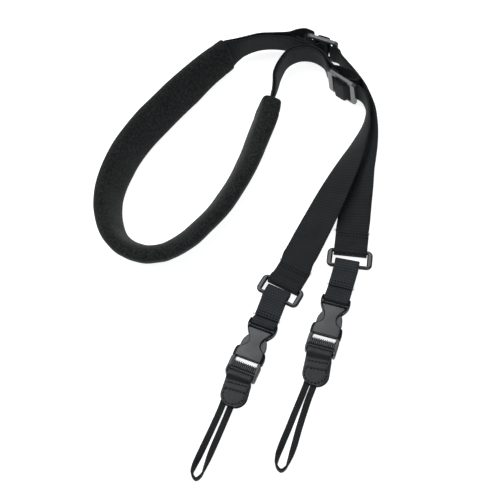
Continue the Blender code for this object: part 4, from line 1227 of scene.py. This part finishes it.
def carve(name, body, cuts, joins, voxel, crown, rim=None, shade_boxes=()):
    """A body with cuts taken out and others run into it, with moulded edges and a crowned face.

    rim gives 0 on the face to 1 at its edge for x, y; walls and rim get painted shade, and the
    boxes of the last argument get it in full.
    """
    mesh = shaped(name, joined(name, (shaped(name, body, cuts), *joins)), voxel=voxel)
    spots = read_vectors(mesh.vertices, "co")
    x, y, _ = spots.T
    spots[:, 2] *= 1 - crown * (x / (BUCKLE_WIDTH / 2)) ** 2
    slope = rim(x, y) if rim else np.zeros(len(spots))
    bow = 0.30 * (-y / SOCKET_LENGTH - 0.45) ** 2 if rim else 0.0
    spots[:, 2] *= 1 - 0.26 * slope - bow
    mesh.vertices.foreach_set("co", spots.ravel())
    mesh.update()
    # painted shade on the walls and on the sloped rim
    painted_shade = np.maximum(walls(mesh), 0.8 * np.clip(slope * 4, 0, 1))
    for low, high in shade_boxes:
        painted_shade[((spots > low) & (spots < high)).all(axis=1)] = 1.0
    paint_shade(mesh, painted_shade)
    return mesh


def bar_cuts(width, bar_y):
    """Two boxes that make a webbing bar thinner than the housing."""
    step = (BUCKLE_THICK - BUCKLE_BAR_THICK) / 2
    size = (width, BUCKLE_BAR + 0.002, step + 0.0002)
    away = (BUCKLE_THICK - step + 0.0002) / 2
    return [box_mesh("step", size, (0, bar_y, sign * away)) for sign in (1, -1)]

# %% The sockets
def capsule(start, end, radius, sides=12, steps=6):
    """A rod with round ends, as rings."""
    start, end = np.array(start, float), np.array(end, float)
    way = unit(end - start)
    side = unit(np.cross(way, (0.0, 0.0, 1.0)))
    up = np.cross(side, way)
    angles = [math.pi / 2 * (k + 0.3) / (steps + 0.3) for k in range(steps + 1)]
    return [
        circle(centre + way * sign * radius * math.sin(a), side, up, radius * math.cos(a), sides)
        for centre, sign in ((start, -1), (end, 1))
        for a in angles[::sign]
    ]


def make_socket(side):
    place = buckle_frame(side)
    slot, slot_width = SOCKET_SLOT, LINK_WIDTH + 2 * SIDE_PLAY
    right = smooth_outline(SOCKET_OUTLINE)
    outline = right + [(-x, y) for x, y in reversed(right)]
    hole = round_box(slot_width, slot, 0.0002, (0, -BUCKLE_BAR - slot / 2), 2)
    body = drawn_plate("socket", outline, [hole], BUCKLE_THICK, edge=0.0004, soft=2)
    start = HOLLOW_FROM * SOCKET_LENGTH
    depth = SOCKET_LENGTH - start + 0.002
    size = (BUCKLE_WIDTH - 2 * BUCKLE_RAIL, depth, BUCKLE_THICK - 2 * SOCKET_WALL)
    hollow = box_mesh("hollow", size, (0, -start - depth / 2, 0))
    size = (BUCKLE_OPENING, NOTCH_LENGTH + 0.002, SOCKET_WALL + 0.001)
    spot = (0, -SOCKET_LENGTH + NOTCH_LENGTH / 2 - 0.001, (SOCKET_WALL - 0.001 - BUCKLE_THICK) / 2)
    notch = box_mesh("notch", size, spot)
    ledge_y = -BUCKLE_BAR - slot - 0.0008
    top = BUCKLE_THICK / 2
    groove = box_mesh("groove", (slot_width, 0.0007, 0.0016), (0, ledge_y - 0.0012, top))
    cuts = [*bar_cuts(slot_width, -(BUCKLE_BAR - 0.002) / 2 - 0.0001), hollow, notch, groove]
    places, halves = np.array(SOCKET_OUTLINE).T

    def rim(x, y):
        down = -y / SOCKET_LENGTH
        inwards = np.interp(down, places, halves) * BUCKLE_WIDTH - np.abs(x)
        return np.clip(1 - inwards / np.interp(down, *SOCKET_RIM), 0, 1)

    # a box below the ledge, where the shade is painted in full
    low = (-slot_width / 2, ledge_y - 0.0018, 0.0)
    high = (slot_width / 2, ledge_y - 0.0006, top - 0.0003)
    mesh = carve("socket", body, cuts, (), 0.00028, crown=0.11, rim=rim, shade_boxes=[(low, high)])
    made = place_mesh("buckle_housing_" + side, mesh, place, satin_acetal, sharp=180)
    keep_piece(made, "acetal", "buckle_socket_" + side)
    end, z = slot_width / 2 - 0.0008, top - 0.0002
    rods = ((0, end, 0.0006), (-end, 0.0004, 0.0009), (end, 0.0004, 0.0009))
    ledge = [
        capsule((x - half, ledge_y, z), (x + half, ledge_y, z), size) for x, half, size in rods
    ]
    keep_piece(tubes("housing_ledge_" + side, ledge, polished_acetal, place), "acetal")
    print(made.name, len(made.data.polygons), "faces")


for side in SIDES:
    make_socket(side)

# %% [markdown]
# ## The prong halves
# The other half has a base that stays outside the socket, with a ridged grip bar and a bar for the
# leather, and two springy arms whose broad shoulders fill the windows. Towards the socket the base
# is open, so the table shows between the two halves.

# %% The prongs
def make_prong(side):
    place = buckle_frame(side)
    top = SOCKET_LENGTH + BUCKLE_FIT
    width = 2 * SOCKET_OUTLINE[-1][1] * BUCKLE_WIDTH
    inner = width - 2 * BUCKLE_RAIL
    ridge_at = top + PRONG_OPENING + RIDGED_BAR / 2
    slot = PRONG_LENGTH - PRONG_OPENING - RIDGED_BAR - BUCKLE_BAR
    hole = round_box(inner, slot, 0.0002, (0, -ridge_at - RIDGED_BAR / 2 - slot / 2), 2)
    outline = round_box(width, PRONG_LENGTH, 0.0022, (0, -top - PRONG_LENGTH / 2))
    face = BUCKLE_THICK / 2 - PRONG_STEP
    body = drawn_plate("base", outline, [hole], 2 * face, edge=0.0004, soft=2)
    size = (BUCKLE_OPENING, PRONG_OPENING + 0.002, BUCKLE_THICK + 0.002)
    mouth = box_mesh("mouth", size, (0, -top - (PRONG_OPENING - 0.002) / 2, 0))
    grip_width = BUCKLE_OPENING + 0.0010
    pocket = box_mesh("pocket", (grip_width, RIDGED_BAR, 0.0030), (0, -ridge_at + 0.0005, face))
    bar_y = -top - PRONG_LENGTH + BUCKLE_BAR / 2
    cuts = [*bar_cuts(TAB_WIDTH + 2 * SIDE_PLAY, bar_y - 0.0009), mouth, pocket]
    arm_thick = BUCKLE_THICK - 2 * SOCKET_WALL - 2 * BUCKLE_FIT
    joins = []
    for sign in (1, -1):
        arm = smooth_outline(ARM_OUTER) + smooth_outline(ARM_INNER)
        arm = [(sign * x, y) for x, y in arm][::sign]
        joins.append(drawn_plate("arm", arm, [], arm_thick, edge=0.0003, soft=2))
    # the pocket round the grip ridges, where the shade is painted in full
    low = (-inner / 2, -ridge_at - RIDGED_BAR / 2, 0.0)
    high = (inner / 2, -ridge_at + RIDGED_BAR / 2, face - 0.0003)
    mesh = carve("prong", body, cuts, joins, 0.00026, crown=0.03, shade_boxes=[(low, high)])
    made = place_mesh("buckle_prong_half_" + side, mesh, place, satin_acetal, sharp=180)
    keep_piece(made, "acetal", "buckle_prong_" + side)
    pitch = grip_width / RIDGE_COUNT
    ridges = []
    for k in range(RIDGE_COUNT):
        spot = ((k - (RIDGE_COUNT - 1) / 2) * pitch, -ridge_at + 0.0001)
        ridge = round_box(pitch * 0.46, RIDGED_BAR - 0.0003, pitch * 0.2, spot, 4)
        ridges.append(drawn_plate("ridge", ridge, [], 0.0022, edge=0.00018, soft=2))
    grip = joined("ridges", ridges)
    grip.transform(Matrix.Translation((0, 0, face - 0.0007)))
    # painted shade on the walls of the ridges
    paint_shade(grip, walls(grip))
    # the ridge tops get the lighter grey of the painted highlight
    keep_piece(place_mesh("grip_ridges_" + side, grip, place, highlight_grey_acetal), "acetal")
    print(made.name, len(made.data.polygons), "faces,", RIDGE_COUNT, "grip ridges")


for side in SIDES:
    make_prong(side)

# %% [markdown]
# ## Leather
# The ends are vegetable-tanned leather, dyed black and finished with a thin clear coat. The grain
# is a net of shallow creases between small raised pebbles, and the coat gives soft, broken
# highlights. The cells of the grain are about 1 mm, and finer pores lie between them.

# %% The leather finish
def grained(name, high_code, low_code):
    made, tree, shader = start_finish(
        name, IOR=1.5, Specular_IOR_Level=0.27, Coat_Weight=0.08, Coat_Roughness=0.3
    )
    place = node(tree, "TexCoord").outputs["Object"]
    bent = {0: 0.0006, 4: place, 5: noise(tree, 500, 2, "Color")}
    moved = node(tree, "Mix", bent, data_type="VECTOR").outputs[1]
    net = {"Vector": moved, "Scale": 1100.0}
    cells = node(tree, "TexVoronoi", net, feature="DISTANCE_TO_EDGE").outputs["Distance"]
    pebble = remap(tree, cells, 0.0, 0.25, 0.0, 1.0)
    tree.links.new(remap(tree, pebble, 0.0, 1.0, 0.55, 0.36), shader.inputs["Roughness"])
    height = calc(tree, "MULTIPLY_ADD", noise(tree, 3200, 3), 0.4, pebble)
    dress(tree, shader, blend(tree, pebble, low_code, high_code), 1.0, height, 0.00007, 0.7)
    return made


black_leather = grained("black_finished_leather", "#15171a", "#090a0b")
print("leather:", black_leather.name)

# %% [markdown]
# ## The leather ends
# One strip of leather is folded round the buckle's bar, so it has an upper and a lower layer with
# the tape's ends between them. The free end is cut round. Two rows of stitches cross it, and the
# doubled tape lifts the leather between them into a soft band. A line of stitches follows the edge.

# %% The leather ends
TAB_THICK = 0.0013
TAB_LENGTH = {"right": 0.0265, "left": 0.0246}
TAB_HEADING = {"right": 12.0, "left": 17.0}
TAPE_ROWS = {"right": (0.0077, 0.0138), "left": (0.0066, 0.0122)}    # the cross rows, from the bar
EDGE_SEAM = 0.0017      # from the edge to its stitches
LEATHER_STITCH = (0.0017, 0.0009, 0.00034)  # length, space and radius


def make_tab(side):
    place = buckle_frame(side)
    bar_y = -SOCKET_LENGTH - BUCKLE_FIT - PRONG_LENGTH + BUCKLE_BAR / 2
    fold = fold_round(bar_y, BUCKLE_BAR / 2, BUCKLE_BAR_THICK, TAB_THICK, BAR_PLAY, 1, place)
    spot = place @ Vector((0, bar_y, 0))
    heading = math.radians(TAB_HEADING[side])
    down = Vector((-math.sin(heading), -math.cos(heading), 0))
    across = Vector((math.cos(heading), -math.sin(heading), 0))
    low = LIFT + TAB_THICK / 2
    high = low + TAB_THICK + TAPE_THICK + 2 * GAP + 0.0003
    nose = TAB_WIDTH / 2
    straight = TAB_LENGTH[side] - nose
    first_row, second_row = TAPE_ROWS[side]

    def layer(height, straight, sideways):
        """One layer: three rows on the straight part, and a round nose that narrows to nothing."""
        rows = []
        for run in (0.30, 0.45, 0.60):
            p = spot + down * run * straight + across * sideways * run
            rows.append((p.x, p.y, height, *across, 1.0))
        for angle in np.linspace(0, math.pi / 2, 25):
            p = spot + down * (straight + nose * math.sin(angle) * 0.985) + across * sideways
            rows.append((p.x, p.y, height, *across, max(math.cos(angle * 0.965), 0.10)))
        return rows

    upper = layer(high, straight, 0.0)
    rows = upper[::-1] + [(*p, *w, 1.0) for p, w in fold] + layer(low, straight - 0.0004, 0.0007)
    length = run_of(through(upper, 0.0006)[:, :3])[-1]

    def lift(along, x):
        """The band over the tape, the dips of its two rows and the dip along the edge."""
        run = length - along + 0.3 * straight
        past_half = np.abs(run - (first_row + second_row) / 2) - (second_row - first_row) / 2
        raised = 1 / (1 + np.exp((past_half + 0.0005) / 0.00022))
        dips = sum(np.exp(-(((run - r) / 0.0005) ** 2)) for r in (first_row, second_row))
        inside = np.clip((nose - np.abs(x)) / 0.002, 0, 1)
        to_edge = nose - np.hypot(np.clip(run - straight, 0, None), x)
        seam = np.exp(-(((to_edge - EDGE_SEAM) / 0.00045) ** 2)) * (run > second_row - 0.001)
        height = (raised * 0.00030 - dips * 0.00022) * inside - seam * 0.00022
        return np.where(along < length, height, 0.0)

    name = "leather_end_" + side
    line = through(rows, 0.0006)
    made = band(name, line, TAB_WIDTH, TAB_THICK, black_leather, inner=13, arc=7, lift=lift)
    keep_piece(made, "leather", "leather_tab_" + side)
    edge = nose - EDGE_SEAM
    half = [(second_row - 0.0005, edge), (straight, edge)]
    half += [
        (straight + edge * math.sin(a), edge * math.cos(a))
        for a in (math.pi / 2 * k / 12 for k in range(1, 12))
    ]
    lines = {
        "edge": [*half, (straight + edge, 0.0), *((r, -x) for r, x in reversed(half))],
        "row_one": [(first_row, x) for x in np.linspace(-edge, edge, 9)],
        "row_two": [(second_row, x) for x in np.linspace(-edge, edge, 9)],
    }
    for word, flat in lines.items():
        points = np.array([spot + down * r + across * x for r, x in flat])
        points[:, 2] = high + TAB_THICK / 2 + (0.00005 if word == "edge" else -0.00005)
        stitch(f"tab_{word}_{side}", "leather", points, LEATHER_STITCH)


for side in SIDES:
    make_tab(side)

# %% [markdown]
# ## The table and the light
# The strap lies on a white table in plain soft light. The table glows a little, which stands for
# the light that a white sweep throws around, so the shadows stay faint. The main light is large and
# to the upper left. A second one stands far behind the strap, where its reflection falls on the
# flat faces of the plastic and turns them from black to soft grey. A weaker one fills from the
# near side, and a small one from above draws thin highlights on the edges.

# %% Table
def white_table(size=3.0):
    finish, _, _ = start_finish(
        "white_table",
        Roughness=0.9,
        Base_Color=(0.55, 0.55, 0.55, 1.0),
        Emission_Color=(1.0, 1.0, 1.0, 1.0),
        Emission_Strength=0.85,
    )
    corners = [(-size, -size, 0), (size, -size, 0), (size, size, 0), (-size, size, 0)]
    table = add_piece("table", mesh_of("table", corners, [(0, 1, 2, 3)]), finish)
    table.location.z = -0.0001


white_table()

# %% Lights
LIGHTS = {
    # place, size, watts, colour
    "main_light": ((-0.95, 0.35, 1.15), (0.9, 0.9), 14, (1.0, 0.985, 0.95)),
    "far_light": ((0.05, 1.0, 1.55), (1.3, 0.8), 11, (0.96, 0.98, 1.0)),
    "near_light": ((0.5, -1.1, 0.9), (0.8, 0.8), 5.5, (0.88, 0.94, 1.0)),
    "top_light": ((-0.2, 0.35, 1.7), (0.5, 0.4), 4.5, (1.0, 1.0, 1.0)),
}
for name, (place, size, watts, colour) in LIGHTS.items():
    lamp = bpy.data.lights.new(name, "AREA")
    lamp.shape, lamp.size, lamp.size_y = "RECTANGLE", *size
    lamp.energy, lamp.color = watts, colour
    look(add_object(name, lamp), place, (0, 0, 0))

world = bpy.data.worlds.new("soft_room")
world.use_nodes = True
world.node_tree.nodes["Background"].inputs["Color"].default_value = (0.95, 0.975, 1.0, 1.0)
world.node_tree.nodes["Background"].inputs["Strength"].default_value = 0.25
bpy.context.scene.world = world
bpy.context.scene.view_settings.view_transform = "Standard"
print(len(LIGHTS), "soft lights and a white room")

# %% [markdown]
# ## Last update

# %% Update
bpy.context.view_layer.update()
